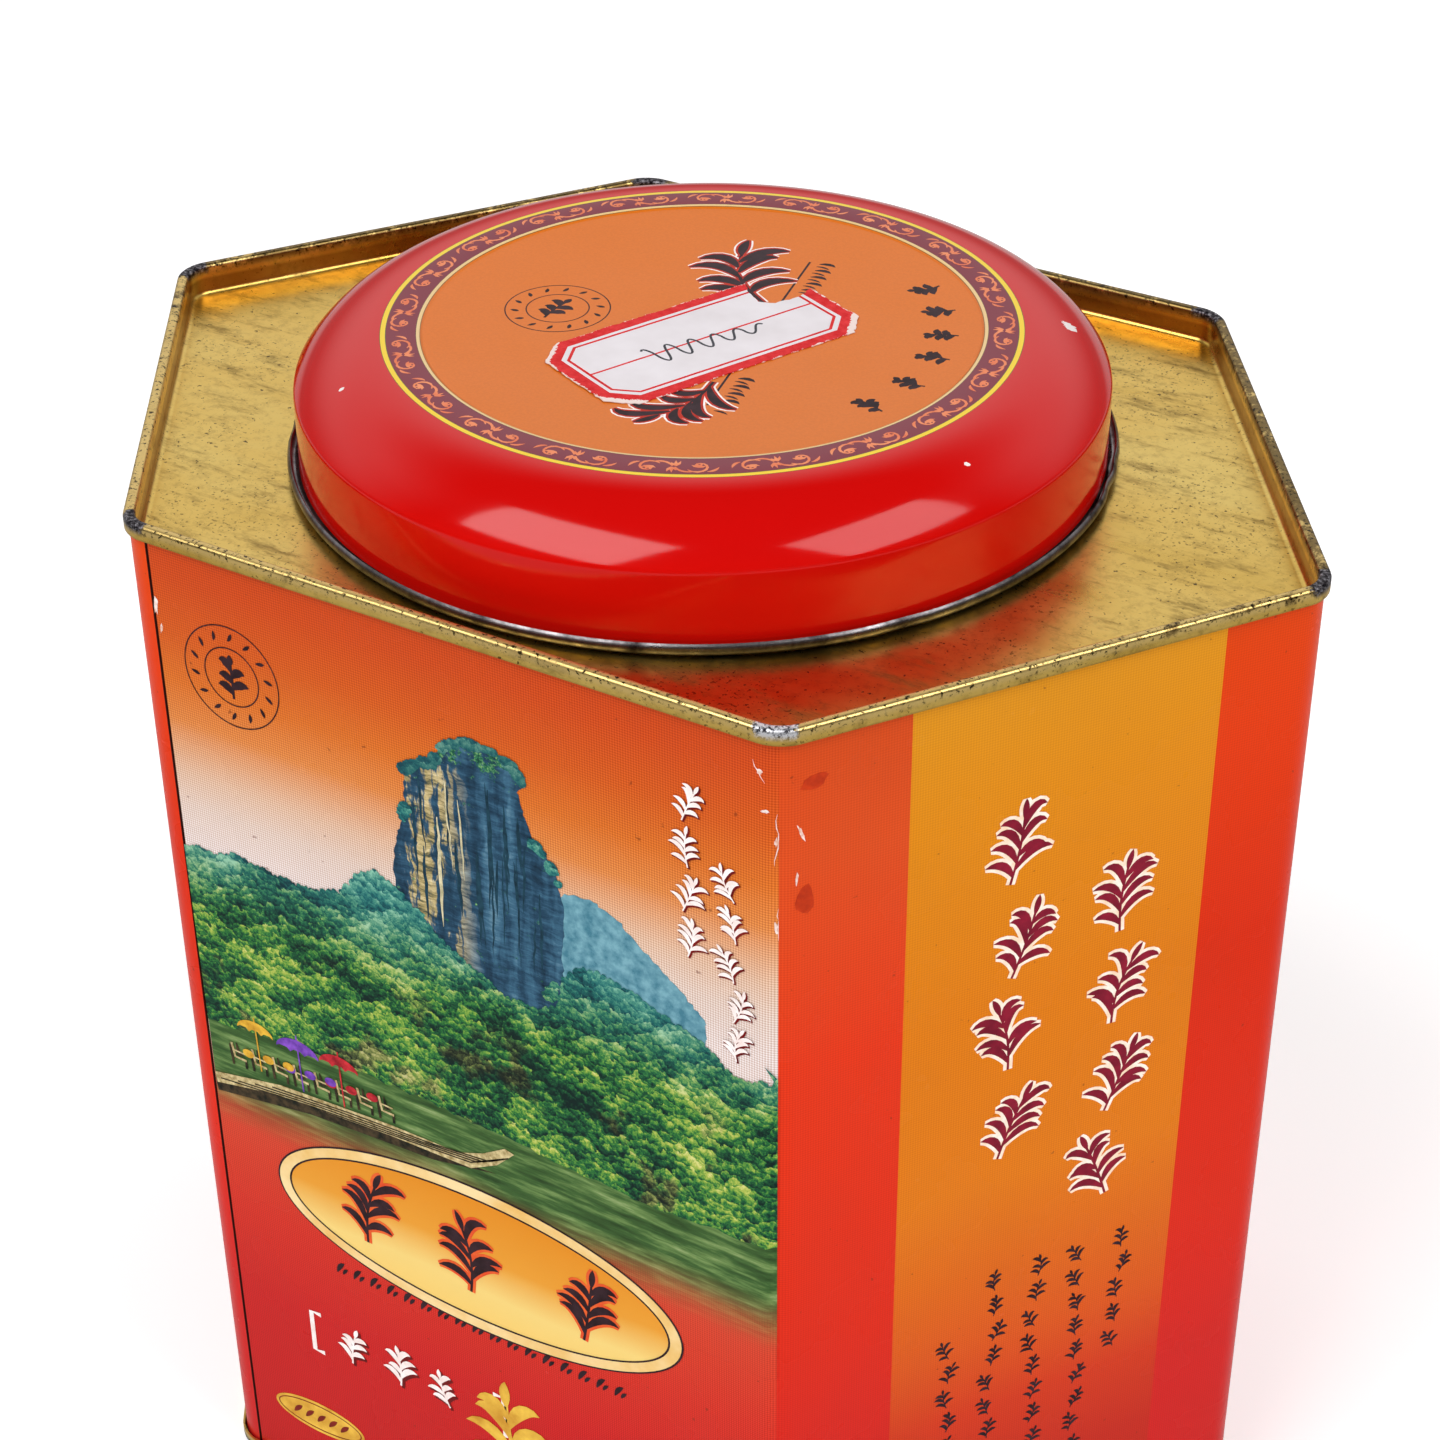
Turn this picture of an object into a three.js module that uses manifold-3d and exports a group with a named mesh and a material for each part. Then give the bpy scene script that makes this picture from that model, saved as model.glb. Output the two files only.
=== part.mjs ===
// A hexagonal tinplate caddy: a printed body between two seamed end plates, a round neck,
// a slip lid with a rolled edge, and a plug lid inside the neck.
// Millimetres, +Z up. The origin is on the ground under the middle of the tin, with the two
// wide sides along X. Every pressed piece is drawn as the line down the middle of its sheet.
import * as THREE from "three";
import { mergeVertices } from "three/addons/utils/BufferGeometryUtils.js";
import Module from "manifold-3d";

// Tinplate
const sheet = 0.3;
const foldGap = 0.3; // between two sheets folded over each other
const slipClearance = 0.3; // between a lid and what it slides on
const seatGap = 0.3; // between a lid's edge and what it rests on

// Tin, measured over its seams
const tinHeight = 158.5;
const tinDepth = 120; // between the two wide sides
const tinWidth = 172.2; // between the two side corners, if they were sharp
const wideSide = 92; // length of a wide side between sharp corners
const cornerRadius = 5;
const cornerSteps = 4;

// End plates
const seamHeight = 2; // outer leg of the fold over the body's edge
const seamBend = 0.4;
const plateRecess = 4.4; // from the seam's crown down to the plate
const plateFillet = 1;
const plateTongue = 1; // flat margin of the fold that the panel joins

// Lock seam down the body
const lockSeamFromCorner = 3.2;
const lockSeamWidth = 4.5;
const lockSeamThickness = 0.9;
const lockSeamNotch = 1.5; // cut back from each end plate
const grooveWidth = 0.35;
const grooveDepth = 0.15;

// Lid
const lidMargin = 5.2; // from the rolled edge to the seam, where they are closest
const lidHeight = 16.65; // over the rolled edge and the top
const curlRadius = 0.75; // middle of the sheet
const curlOpening = THREE.MathUtils.degToRad(70); // where the sheet's edge stops short of the skirt
const shoulderRadius = 13.8;
const shoulderReach = 11.4; // from the flat top out to the skirt
const shoulderFillet = 1.2;
const bandWidth = 4.45; // flat ring round the pressed disc
const discDrop = 0.3;

// Neck
const neckHeadroom = 1.6; // under the bend where the lid's skirt begins
const neckBead = 0.45; // height of the bead that clinches the neck above the plate
const neckBeadRise = 1.1;
const neckFlange = 3;
const neckRoll = 0.75;

// Plug lid
const plugDepth = 5;
const plugRimOverlap = 1.4; // how far its rim reaches out over the neck's roll
const plugFillet = 1;
const plugDishRadius = 22; // pressed dish in the middle of the plug
const plugDishDepth = 1.2;

// Paper label stuck on the lid
const labelLength = 38.9;
const labelWidth = 19.65;
const labelThickness = 0.15;
const labelGlue = 0.02;
const labelTurn = THREE.MathUtils.degToRad(66.5);
const labelCentre = new THREE.Vector2(2.4, -3.75);
const labelCornerWear = 2.4;
const labelTear = new THREE.Vector2(6.5, 5.8);

const roundSteps = 64;
const arcSteps = 2; // three's path gives each arc twice this many steps
const half = sheet / 2;

// Heights and radii that follow from the sizes above
const seamThickness = 3 * sheet + 2 * foldGap;
const bodyInset = sheet + foldGap;
const bodyEndGap = sheet + foldGap;
const plateTop = tinHeight - plateRecess;
const lidBottom = plateTop + seatGap;
const curlCentre = tinDepth / 2 - seamThickness - lidMargin - curlRadius - half;
const skirtMiddle = curlCentre - curlRadius;
const lidTopMiddle = lidHeight - half; // above the lid's lower edge
const flatRadius = skirtMiddle - shoulderReach;
const discRadius = flatRadius - bandWidth;
const shoulderEnd = Math.acos((shoulderReach - shoulderFillet) / (shoulderRadius - shoulderFillet));
const skirtTop = lidTopMiddle - shoulderRadius + (shoulderRadius - shoulderFillet) * Math.sin(shoulderEnd);
const neckMiddle = skirtMiddle - half - slipClearance - neckBead - half;
const neckTop = seatGap + skirtTop - neckHeadroom; // above the plate
const holeRadius = neckMiddle + half + foldGap;
const plugWall = neckMiddle - 2 * neckRoll - half - slipClearance - half;
const plugRim = plugWall + half + slipClearance + half + plugRimOverlap;

const wasm = await Module();
wasm.setup();

const paint = (color, roughness, metalness) => new THREE.MeshStandardMaterial({ color, roughness, metalness });
const materials = {
  printedBody: paint("#d2571f", 0.38, 0.1),
  goldLacquer: paint("#c8a85a", 0.35, 0.9),
  bareTin: paint("#8d8a86", 0.4, 0.9),
  redEnamel: paint("#c41212", 0.18, 0.1),
  paper: paint("#efebe4", 0.9, 0),
};

// The closed section of a sheet whose middle follows a path, anticlockwise
function sheetSection(path, closed) {
  const middle = path.getPoints(arcSteps);
  const directions = middle.slice(1).map((point, i) => point.clone().sub(middle[i]).normalize());
  const side = (distance) => middle.map((point, i) => {
    const before = directions[Math.max(i - 1, 0)];
    const after = directions[Math.min(i, directions.length - 1)];
    const across = before.clone().add(after).multiplyScalar(distance / (1 + before.dot(after)));
    return new THREE.Vector2(point.x - across.y, point.y + across.x);
  });
  const section = [...side(half), ...side(-half).reverse()];
  if (THREE.ShapeUtils.area(section) < 0) section.reverse();
  if (closed) section.push(section[0].clone());
  return section;
}

function turned(path, closed) {
  return new THREE.LatheGeometry(sheetSection(path, closed), roundSteps).rotateX(Math.PI / 2);
}

// The tin's outline a given distance inside the seam's outer face, anticlockwise
function outlineAt(inset) {
  const x = wideSide / 2;
  const y = tinDepth / 2;
  const corners = [[-x, -y], [x, -y], [tinWidth / 2, 0], [x, y], [-x, y], [-tinWidth / 2, 0]]
    .map((corner) => new THREE.Vector2(...corner));
  const outward = corners.map((corner, i) => {
    const along = corners[(i + 1) % corners.length].clone().sub(corner).normalize();
    return new THREE.Vector2(along.y, -along.x);
  });
  return corners.flatMap((corner, i) => {
    const before = outward.at(i - 1);
    const after = outward[i];
    const turn = Math.acos(before.dot(after));
    const toCentre = before.clone().add(after).multiplyScalar(-cornerRadius / (1 + before.dot(after)));
    const centre = corner.clone().add(toCentre);
    return Array.from({ length: cornerSteps + 1 }, (_, step) => {
      const angle = before.angle() + (turn * step) / cornerSteps;
      const reach = cornerRadius - inset;
      return new THREE.Vector2(centre.x + reach * Math.cos(angle), centre.y + reach * Math.sin(angle));
    });
  });
}

// A lathe with one step for each point of the outline, moved out onto the outline.
// In its section x is the distance outside the seam's outer face, so it is negative.
function sweptRoundTin(section) {
  const loops = section.map((point) => outlineAt(-point.x));
  const steps = loops[0].length;
  const geometry = new THREE.LatheGeometry(section, steps);
  const position = geometry.getAttribute("position");
  for (let i = 0; i < position.count; i++) {
    const row = i % section.length;
    const { x, y } = loops[row][Math.floor(i / section.length) % steps];
    position.setXYZ(i, x, y, section[row].y);
  }
  return geometry;
}

function solid(geometry) {
  const bare = geometry.clone();
  bare.deleteAttribute("normal");
  bare.deleteAttribute("uv");
  const merged = mergeVertices(bare, 1e-5);
  const mesh = new wasm.Mesh({
    numProp: 3,
    vertProperties: new Float32Array(merged.getAttribute("position").array),
    triVerts: new Uint32Array(merged.getIndex().array),
  });
  return new wasm.Manifold(mesh);
}

function geometryOf(manifold) {
  const mesh = manifold.getMesh();
  const geometry = new THREE.BufferGeometry();
  geometry.setAttribute("position", new THREE.BufferAttribute(mesh.vertProperties, 3));
  geometry.setIndex(new THREE.BufferAttribute(mesh.triVerts, 1));
  geometry.computeVertexNormals();
  return geometry;
}

function piece(name, geometry, material) {
  const mesh = new THREE.Mesh(geometry, material);
  mesh.name = name;
  return mesh;
}

// Printed body: one sheet bent round the six sides, with its lock seam beside the front left corner
function bodyShell() {
  const low = bodyEndGap;
  const high = tinHeight - bodyEndGap;
  const outer = -bodyInset;
  const inner = outer - sheet;
  const wall = [[inner, low], [outer, low], [outer, high], [inner, high], [inner, low]]
    .map((point) => new THREE.Vector2(...point));

  const grooveX = -wideSide / 2 + lockSeamFromCorner;
  const outerY = -tinDepth / 2 + bodyInset;
  const lap = 0.1; // shared with the wall, so that the two join
  const foldLength = tinHeight - 2 * (plateRecess + sheet + lockSeamNotch);
  const fold = new THREE.BoxGeometry(lockSeamWidth, lockSeamThickness + lap, foldLength);
  const foldY = outerY + sheet + (lockSeamThickness - lap) / 2;
  fold.translate(grooveX + lockSeamWidth / 2, foldY, tinHeight / 2);
  const groove = new THREE.BoxGeometry(grooveWidth, 2 * grooveDepth, tinHeight);
  groove.translate(grooveX, outerY, tinHeight / 2);
  return geometryOf(solid(sweptRoundTin(wall)).add(solid(fold)).subtract(solid(groove)));
}

// End plate seen with its crown at height 0 and its panel below: the seam folds over the
// body's edge, then the wall drops to the panel. A top plate has a hole for the neck.
function endPlate(hole) {
  const outerLeg = -half;
  const innerLeg = half - seamThickness;
  const panel = -plateRecess - half;
  const fold = new THREE.Path();
  fold.moveTo(outerLeg, -seamHeight);
  fold.absarc(outerLeg - seamBend, -half - seamBend, seamBend, 0, Math.PI / 2);
  fold.absarc(innerLeg + seamBend, -half - seamBend, seamBend, Math.PI / 2, Math.PI);
  fold.absarc(innerLeg - plateFillet, panel + plateFillet, plateFillet, 0, -Math.PI / 2, true);
  fold.lineTo(innerLeg - plateFillet - plateTongue, panel);

  const panelShape = new THREE.Shape(outlineAt(plateFillet + plateTongue / 2 - innerLeg));
  if (hole) panelShape.holes.push(circle(hole));
  const panelSheet = new THREE.ExtrudeGeometry(panelShape, { depth: sheet, bevelEnabled: false });
  panelSheet.translate(0, 0, panel - half);
  return geometryOf(solid(sweptRoundTin(sheetSection(fold, true))).add(solid(panelSheet)));
}

function circle(radius) {
  const points = Array.from({ length: roundSteps }, (_, i) => {
    const angle = (2 * Math.PI * i) / roundSteps - Math.PI / 2;
    return new THREE.Vector2(radius * Math.cos(angle), radius * Math.sin(angle));
  });
  return new THREE.Path(points);
}

// Neck: flange under the plate, bead above it, and its top edge rolled inwards
function neckCollar() {
  const flange = -sheet - foldGap - half;
  const beadLow = foldGap;
  const line = new THREE.Path();
  line.moveTo(neckMiddle + neckFlange, flange);
  line.lineTo(neckMiddle, flange);
  line.lineTo(neckMiddle, beadLow);
  line.lineTo(neckMiddle + neckBead, beadLow + neckBeadRise / 2);
  line.lineTo(neckMiddle, beadLow + neckBeadRise);
  line.absarc(neckMiddle - neckRoll, neckTop - half - neckRoll, neckRoll, 0, 1.5 * Math.PI);
  return turned(line, true);
}

// Plug lid: pressed dish, wall down inside the neck, and a rim that rests on the neck's roll
function innerLid() {
  const rim = seatGap + half; // above the neck's top
  const floor = rim - plugDepth;
  const line = new THREE.Path();
  line.moveTo(0, floor - plugDishDepth);
  line.lineTo(plugDishRadius - plugDishDepth, floor - plugDishDepth);
  line.lineTo(plugDishRadius, floor);
  line.absarc(plugWall - plugFillet, floor + plugFillet, plugFillet, -Math.PI / 2, 0);
  line.lineTo(plugWall, rim);
  line.lineTo(plugRim, rim);
  return turned(line, false);
}

// Slip lid: pressed disc, flat ring, broad shoulder, skirt, and an edge rolled outwards
function lidShell() {
  const curlHeight = curlRadius + half;
  const line = new THREE.Path();
  line.moveTo(0, lidTopMiddle - discDrop);
  line.lineTo(discRadius - discDrop, lidTopMiddle - discDrop);
  line.lineTo(discRadius, lidTopMiddle);
  line.absarc(flatRadius, lidTopMiddle - shoulderRadius, shoulderRadius, Math.PI / 2, shoulderEnd, true);
  line.absarc(skirtMiddle - shoulderFillet, skirtTop, shoulderFillet, shoulderEnd, 0, true);
  line.absarc(curlCentre, curlHeight, curlRadius, Math.PI, 2 * Math.PI + curlOpening);
  return turned(line, false);
}

// Label with worn corners and one corner torn away, lying on the pressed disc
function priceLabel() {
  const x = labelLength / 2;
  const y = labelWidth / 2;
  const wear = labelCornerWear;
  const outline = [
    [-x, wear - y], [wear - x, -y], [x - wear, -y], [x, wear - y],
    [x, y - labelTear.y], [x - labelTear.x, y], [wear - x, y], [-x, y - wear],
  ].map((point) => new THREE.Vector2(...point));
  const paper = { depth: labelThickness, bevelEnabled: false };
  return new THREE.ExtrudeGeometry(new THREE.Shape(outline), paper);
}

const tin = new THREE.Group();

const topPlate = piece("top_plate", endPlate(holeRadius), materials.goldLacquer);
topPlate.position.z = tinHeight;
const bottomPlate = piece("bottom_plate", endPlate(0), materials.goldLacquer);
bottomPlate.rotation.x = Math.PI;
const neck = piece("neck_collar", neckCollar(), materials.bareTin);
neck.position.z = plateTop;
const plug = piece("inner_lid", innerLid(), materials.goldLacquer);
plug.position.z = plateTop + neckTop;

const lid = new THREE.Group();
lid.position.z = lidBottom;
const label = piece("price_label", priceLabel(), materials.paper);
label.position.set(labelCentre.x, labelCentre.y, lidHeight - discDrop + labelGlue);
label.rotation.z = labelTurn;
lid.add(piece("lid_shell", lidShell(), materials.redEnamel), label);

tin.add(piece("body_shell", bodyShell(), materials.printedBody), topPlate, bottomPlate, neck, plug, lid);

export default tin;
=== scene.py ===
import math
import random
import bmesh
import bpy
from mathutils import Matrix, Vector


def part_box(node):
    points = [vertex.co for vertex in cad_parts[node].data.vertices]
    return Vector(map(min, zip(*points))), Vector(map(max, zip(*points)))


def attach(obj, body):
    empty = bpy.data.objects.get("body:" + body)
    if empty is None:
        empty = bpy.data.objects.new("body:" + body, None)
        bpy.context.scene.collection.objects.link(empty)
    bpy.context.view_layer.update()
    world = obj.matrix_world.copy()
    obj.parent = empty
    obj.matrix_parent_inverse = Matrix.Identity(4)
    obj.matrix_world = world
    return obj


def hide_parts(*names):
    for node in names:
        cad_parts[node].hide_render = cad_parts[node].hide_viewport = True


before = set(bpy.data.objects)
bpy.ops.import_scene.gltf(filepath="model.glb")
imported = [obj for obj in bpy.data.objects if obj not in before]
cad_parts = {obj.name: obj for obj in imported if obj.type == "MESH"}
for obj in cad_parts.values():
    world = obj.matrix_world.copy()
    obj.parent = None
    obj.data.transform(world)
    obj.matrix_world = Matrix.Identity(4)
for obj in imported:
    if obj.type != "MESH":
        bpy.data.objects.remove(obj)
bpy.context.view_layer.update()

# A printed hexagonal tea tin. Shapes are drawn in millimetres and brought to metres as each
# piece is finished. The wide sides run along X and the front one faces -Y.

mm = 0.001
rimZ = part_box("top_plate")[1].z / mm
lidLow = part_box("lid_shell")[0].z / mm
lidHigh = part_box("lid_shell")[1].z / mm
print("frame loaded, rim at", round(rimZ, 2), "mm")

tin = {
    "halfDepth": 60.0,      # over the seams
    "halfWidth": 86.1,      # to the side corners, if they were sharp
    "halfSide": 46.0,       # half a wide side between sharp corners
    "cornerRadius": 5.0,
    "sheet": 0.3,
    "wallInset": 0.6,       # printed wall behind the seam's face
    "sideCuts": 19,         # extra points along each straight side
}


# small helpers

smooth = {"interpolation_type": "SMOOTHSTEP"}     # for a map range that eases in and out


def hexColor(text):
    # sRGB hex to the linear values that Blender mixes
    parts = [int(text[i:i + 2], 16) / 255 for i in (1, 3, 5)]
    return tuple(c / 12.92 if c <= 0.04045 else ((c + 0.055) / 1.055) ** 2.4 for c in parts) + (1.0,)


def perMm(size):
    # texture scale whose pattern repeats about every `size` millimetres
    return 1 / (size * mm)


def addNode(tree, kind, inputs=(), out=0, ramp=None, **settings):
    # adds one node with its settings, fills or links its inputs and gives back the output asked for
    node = tree.nodes.new("ShaderNode" + kind)
    for name, value in settings.items():
        setattr(node, name, value)
    for key, value in inputs.items() if isinstance(inputs, dict) else enumerate(inputs):
        if isinstance(value, bpy.types.NodeSocket):
            tree.links.new(value, node.inputs[key])
        else:
            node.inputs[key].default_value = value
    if ramp:
        stops = node.color_ramp.elements
        while len(stops) < len(ramp):
            stops.new(1.0)
        for stop, (position, color) in zip(stops, ramp):
            stop.position = position
            stop.color = hexColor(color) if isinstance(color, str) else (color, color, color, 1)
    return [node.outputs[key] for key in out] if isinstance(out, tuple) else node.outputs[out]


def newMaterial(name, shaderSettings):
    # an empty Principled material with the values that are the same all over
    material = bpy.data.materials.new(name)
    material.use_nodes = True
    shader = material.node_tree.nodes["Principled BSDF"]
    for key, value in shaderSettings.items():
        shader.inputs[key].default_value = value
    return material, material.node_tree, shader


def place(tree):
    # the point on the piece, and its x, y and z
    point = addNode(tree, "TexCoord", out="Object")
    return [point] + addNode(tree, "SeparateXYZ", [point], out=(0, 1, 2))


def blotches(tree, point, size, detail, rough, low, high, weak=0.0, strong=1.0):
    # noise of a size in mm, `weak` where it is under the low level and `strong` over the high one
    noise = addNode(tree, "TexNoise", {
        "Vector": point, "Scale": perMm(size), "Detail": detail, "Roughness": rough})
    return addNode(tree, "MapRange", [noise, low, high, weak, strong], **smooth)


def inked(tree, color, ink, mask, strength):
    # lays an ink over a colour where the mask says
    amount = addNode(tree, "Math", [mask, strength], operation="MULTIPLY")
    return addNode(tree, "MixRGB", [amount, color, hexColor(ink)])


def surface(tree, shader, color, rough=None, bump=None):
    # links a material's colour, roughness and bump
    for key, source in (("Base Color", color), ("Roughness", rough), ("Normal", bump)):
        if source:
            tree.links.new(source, shader.inputs[key])


def finishPiece(name, bm, materials, body, cadNode=None, smoothAngle=35):
    # turns a bmesh in millimetres into a finished object at the origin, riding on its body
    bmesh.ops.scale(bm, vec=(mm, mm, mm), verts=bm.verts[:])
    limit = math.radians(smoothAngle)
    for face in bm.faces:
        face.smooth = True
    for edge in bm.edges:
        edge.smooth = len(edge.link_faces) == 2 and edge.calc_face_angle(0) < limit
    mesh = bpy.data.meshes.new(name)
    bm.to_mesh(mesh)
    bm.free()
    piece = bpy.data.objects.new(name, mesh)
    bpy.context.collection.objects.link(piece)
    for material in materials:
        mesh.materials.append(material)
    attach(piece, body)
    if cadNode:
        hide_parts(cadNode)
    return piece


def sheetMetal(piece, offset):
    # gives a pressed surface its real thickness; the hidden side takes the second material
    thick = piece.modifiers.new("sheet", "SOLIDIFY")
    thick.thickness = tin["sheet"] * mm
    thick.offset = offset
    thick.use_even_offset = True
    thick.material_offset = 1


def arc(cx, cz, radius, start, end, steps):
    # points along an arc, with angles in degrees
    turn = [math.radians(start + (end - start) * i / steps) for i in range(steps + 1)]
    return [(cx + radius * math.cos(a), cz + radius * math.sin(a)) for a in turn]


def spun(line, steps):
    # spins a line of (radius, height) points round Z
    bm = bmesh.new()
    verts = [bm.verts.new((x, 0, z)) for x, z in line]
    edges = [bm.edges.new(pair) for pair in zip(verts, verts[1:])]
    bmesh.ops.spin(bm, geom=verts + edges, cent=(0, 0, 0), axis=(0, 0, 1), angle=2 * math.pi,
                   steps=steps, use_merge=True)
    bmesh.ops.remove_doubles(bm, verts=bm.verts[:], dist=1e-4)
    bmesh.ops.recalc_face_normals(bm, faces=bm.faces[:])
    return bm


# materials

printStops = {
    # height in mm and ink colour up the wide sides: red ground, cream horizon, orange sky
    "wide": [(0, "#c81d1d"), (34, "#d22323"), (50, "#db3526"), (60, "#dc432c"), (70, "#d85036"),
             (84, "#e9dcd8"), (112, "#ece4e2"), (118, "#e8dad0"), (123, "#e7c9b0"), (127, "#e6b086"),
             (131, "#e4914c"), (137, "#df792a"), (144, "#d8621e"), (152, "#d3511a"), (158, "#cf4a18")],
    "amber": [(0, "#bd2118"), (28, "#c22a1a"), (42, "#d03b19"), (54, "#d85818"), (66, "#da6814"),
              (82, "#dd7a10"), (110, "#db7c0a"), (140, "#db8a0e"), (158, "#d89218")],
    "orangeRed": [(0, "#c81d1d"), (38, "#d0211c"), (65, "#da2a14"), (110, "#e03612"),
                  (140, "#d84e1c"), (158, "#cf4a16")],
    "vermilion": [(0, "#c81e1e"), (38, "#d0211e"), (65, "#da2812"), (110, "#d62a02"),
                  (140, "#de3a02"), (158, "#da4404")],
}
bands = {"amberFrom": 16.8, "amberTo": 57.8}   # along a narrow side, in mm
varnish = {"Roughness": 0.28, "Specular IOR Level": 0.08}


def inkRamp(tree, z, name):
    # an ink gradient up the wall; a ramp runs from 0 to 1, so heights are taken as parts of its top
    top = 160
    stops = [(height / top, color) for height, color in printStops[name]]
    factor = addNode(tree, "Math", [z, top * mm], operation="DIVIDE")
    return addNode(tree, "ValToRGB", [factor], ramp=stops)


def halftone(tree, x, z, color, strength):
    # printed screen at 45 degrees; the real pitch of about 0.2 mm is drawn at 0.7 mm so that it shows
    screen = 0.7
    pitch = 2 * math.pi / (screen * mm)
    waves = []
    for operation in ("ADD", "SUBTRACT"):
        slanted = addNode(tree, "Math", [x, z], operation=operation)
        phase = addNode(tree, "Math", [slanted, pitch], operation="MULTIPLY")
        waves.append(addNode(tree, "Math", [phase], operation="SINE"))
    crossed = addNode(tree, "Math", waves, operation="MULTIPLY")
    dots = addNode(tree, "MapRange", [crossed, -0.6, 0.6], **smooth)
    darker = addNode(tree, "MixRGB", [1.0, color, hexColor("#c9a08c")], blend_type="MULTIPLY")
    amount = addNode(tree, "Math", [dots, strength], operation="MULTIPLY")
    return addNode(tree, "MixRGB", [amount, color, darker])


def lithographedWall():
    # lithographed tinplate: offset inks under a clear varnish, so soft gradients with a faint gloss
    material, tree, shader = newMaterial("lithographedWall", varnish)
    point, x, y, z = place(tree)
    absX = addNode(tree, "Math", [x], operation="ABSOLUTE")
    absY = addNode(tree, "Math", [y], operation="ABSOLUTE")
    farX = addNode(tree, "Math", [absX, tin["halfSide"] * mm], operation="SUBTRACT")
    inY = addNode(tree, "Math", [tin["halfDepth"] * mm, absY], operation="SUBTRACT")
    run = tin["halfWidth"] - tin["halfSide"]
    length = math.hypot(run, tin["halfDepth"])
    bend = math.atan2(tin["halfDepth"], run) / 2

    def leaning(alongX, alongY):
        # distance past a wide side's end, measured in a direction
        partX = addNode(tree, "Math", [farX, alongX], operation="MULTIPLY")
        partY = addNode(tree, "Math", [inY, alongY], operation="MULTIPLY")
        return addNode(tree, "Math", [partX, partY], operation="ADD")

    along = leaning(run / length, tin["halfDepth"] / length)
    pastCorner = leaning(math.cos(bend), math.sin(bend))
    onNarrow = addNode(tree, "Math", [pastCorner, 0.0], operation="GREATER_THAN")

    wide = halftone(tree, x, z, inkRamp(tree, z, "wide"), 0.7)
    inBand = addNode(tree, "Math", [along, bands["amberFrom"] * mm], operation="GREATER_THAN")
    pastBand = addNode(tree, "Math", [along, bands["amberTo"] * mm], operation="GREATER_THAN")
    narrow = addNode(tree, "MixRGB", [inBand, inkRamp(tree, z, "orangeRed"), inkRamp(tree, z, "amber")])
    narrow = addNode(tree, "MixRGB", [pastBand, narrow, inkRamp(tree, z, "vermilion")])
    narrow = halftone(tree, along, z, narrow, 0.35)
    color = addNode(tree, "MixRGB", [onNarrow, wide, narrow])

    # the strip beside the lock seam belongs to the sheet's other end
    leftOfSeam = addNode(tree, "Math", [x, (seam["groove"] - 0.1) * mm], operation="LESS_THAN")
    inFront = addNode(tree, "Math", [y, -50 * mm], operation="LESS_THAN")
    onStrip = addNode(tree, "Math", [leftOfSeam, inFront], operation="MULTIPLY")
    color = addNode(tree, "MixRGB", [onStrip, color, inkRamp(tree, z, "vermilion")])
    # the lock seam's groove is painted near-black
    offGroove = addNode(tree, "Math", [x, seam["groove"] * mm], operation="SUBTRACT")
    offGroove = addNode(tree, "Math", [offGroove], operation="ABSOLUTE")
    inGroove = addNode(tree, "Math", [offGroove, 0.22 * mm], operation="LESS_THAN")
    darkGroove = addNode(tree, "Math", [inGroove, inFront], operation="MULTIPLY")
    color = addNode(tree, "MixRGB", [darkGroove, color, hexColor("#2a0f0a")])

    # brown specks and rubbed marks
    specks = blotches(tree, point, 1.4, 2.0, 0.55, 0.735, 0.775)
    color = inked(tree, color, "#6b2a12", specks, 0.55)
    soil = blotches(tree, point, 18, 4.0, 0.55, 0.45, 0.8)
    color = inked(tree, color, "#7a3a1c", soil, 0.05)
    gloss = blotches(tree, point, 14, 3.0, 0.55, 0.3, 0.75, 0.24, 0.3)
    waves = addNode(tree, "TexNoise", {
        "Vector": point, "Scale": perMm(40), "Detail": 1.0, "Roughness": 0.55})
    bump = addNode(tree, "Bump", {"Height": waves, "Distance": 0.3 * mm, "Strength": 0.25})
    surface(tree, shader, color, gloss, bump)
    return material


def fromAxis(tree, x, y):
    # distance from an upright axis
    squares = [addNode(tree, "Math", [part, 2.0], operation="POWER") for part in (x, y)]
    return addNode(tree, "Math", [addNode(tree, "Math", squares, operation="ADD")], operation="SQRT")


def nearCorner(tree, x, y, reach):
    # 1 at the tin's six upright corners, falling to 0 `reach` mm away
    absX = addNode(tree, "Math", [x], operation="ABSOLUTE")
    absY = addNode(tree, "Math", [y], operation="ABSOLUTE")
    gaps = []
    for cornerX, cornerY in ((44.6, 58.4), (84.2, 0.0)):     # on the crown of the rounded seam
        dx = addNode(tree, "Math", [absX, cornerX * mm], operation="SUBTRACT")
        dy = addNode(tree, "Math", [absY, cornerY * mm], operation="SUBTRACT")
        gaps.append(fromAxis(tree, dx, dy))
    nearest = addNode(tree, "Math", gaps, operation="MINIMUM")
    return addNode(tree, "MapRange", [nearest, reach * mm, 0.0], **smooth)


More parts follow.
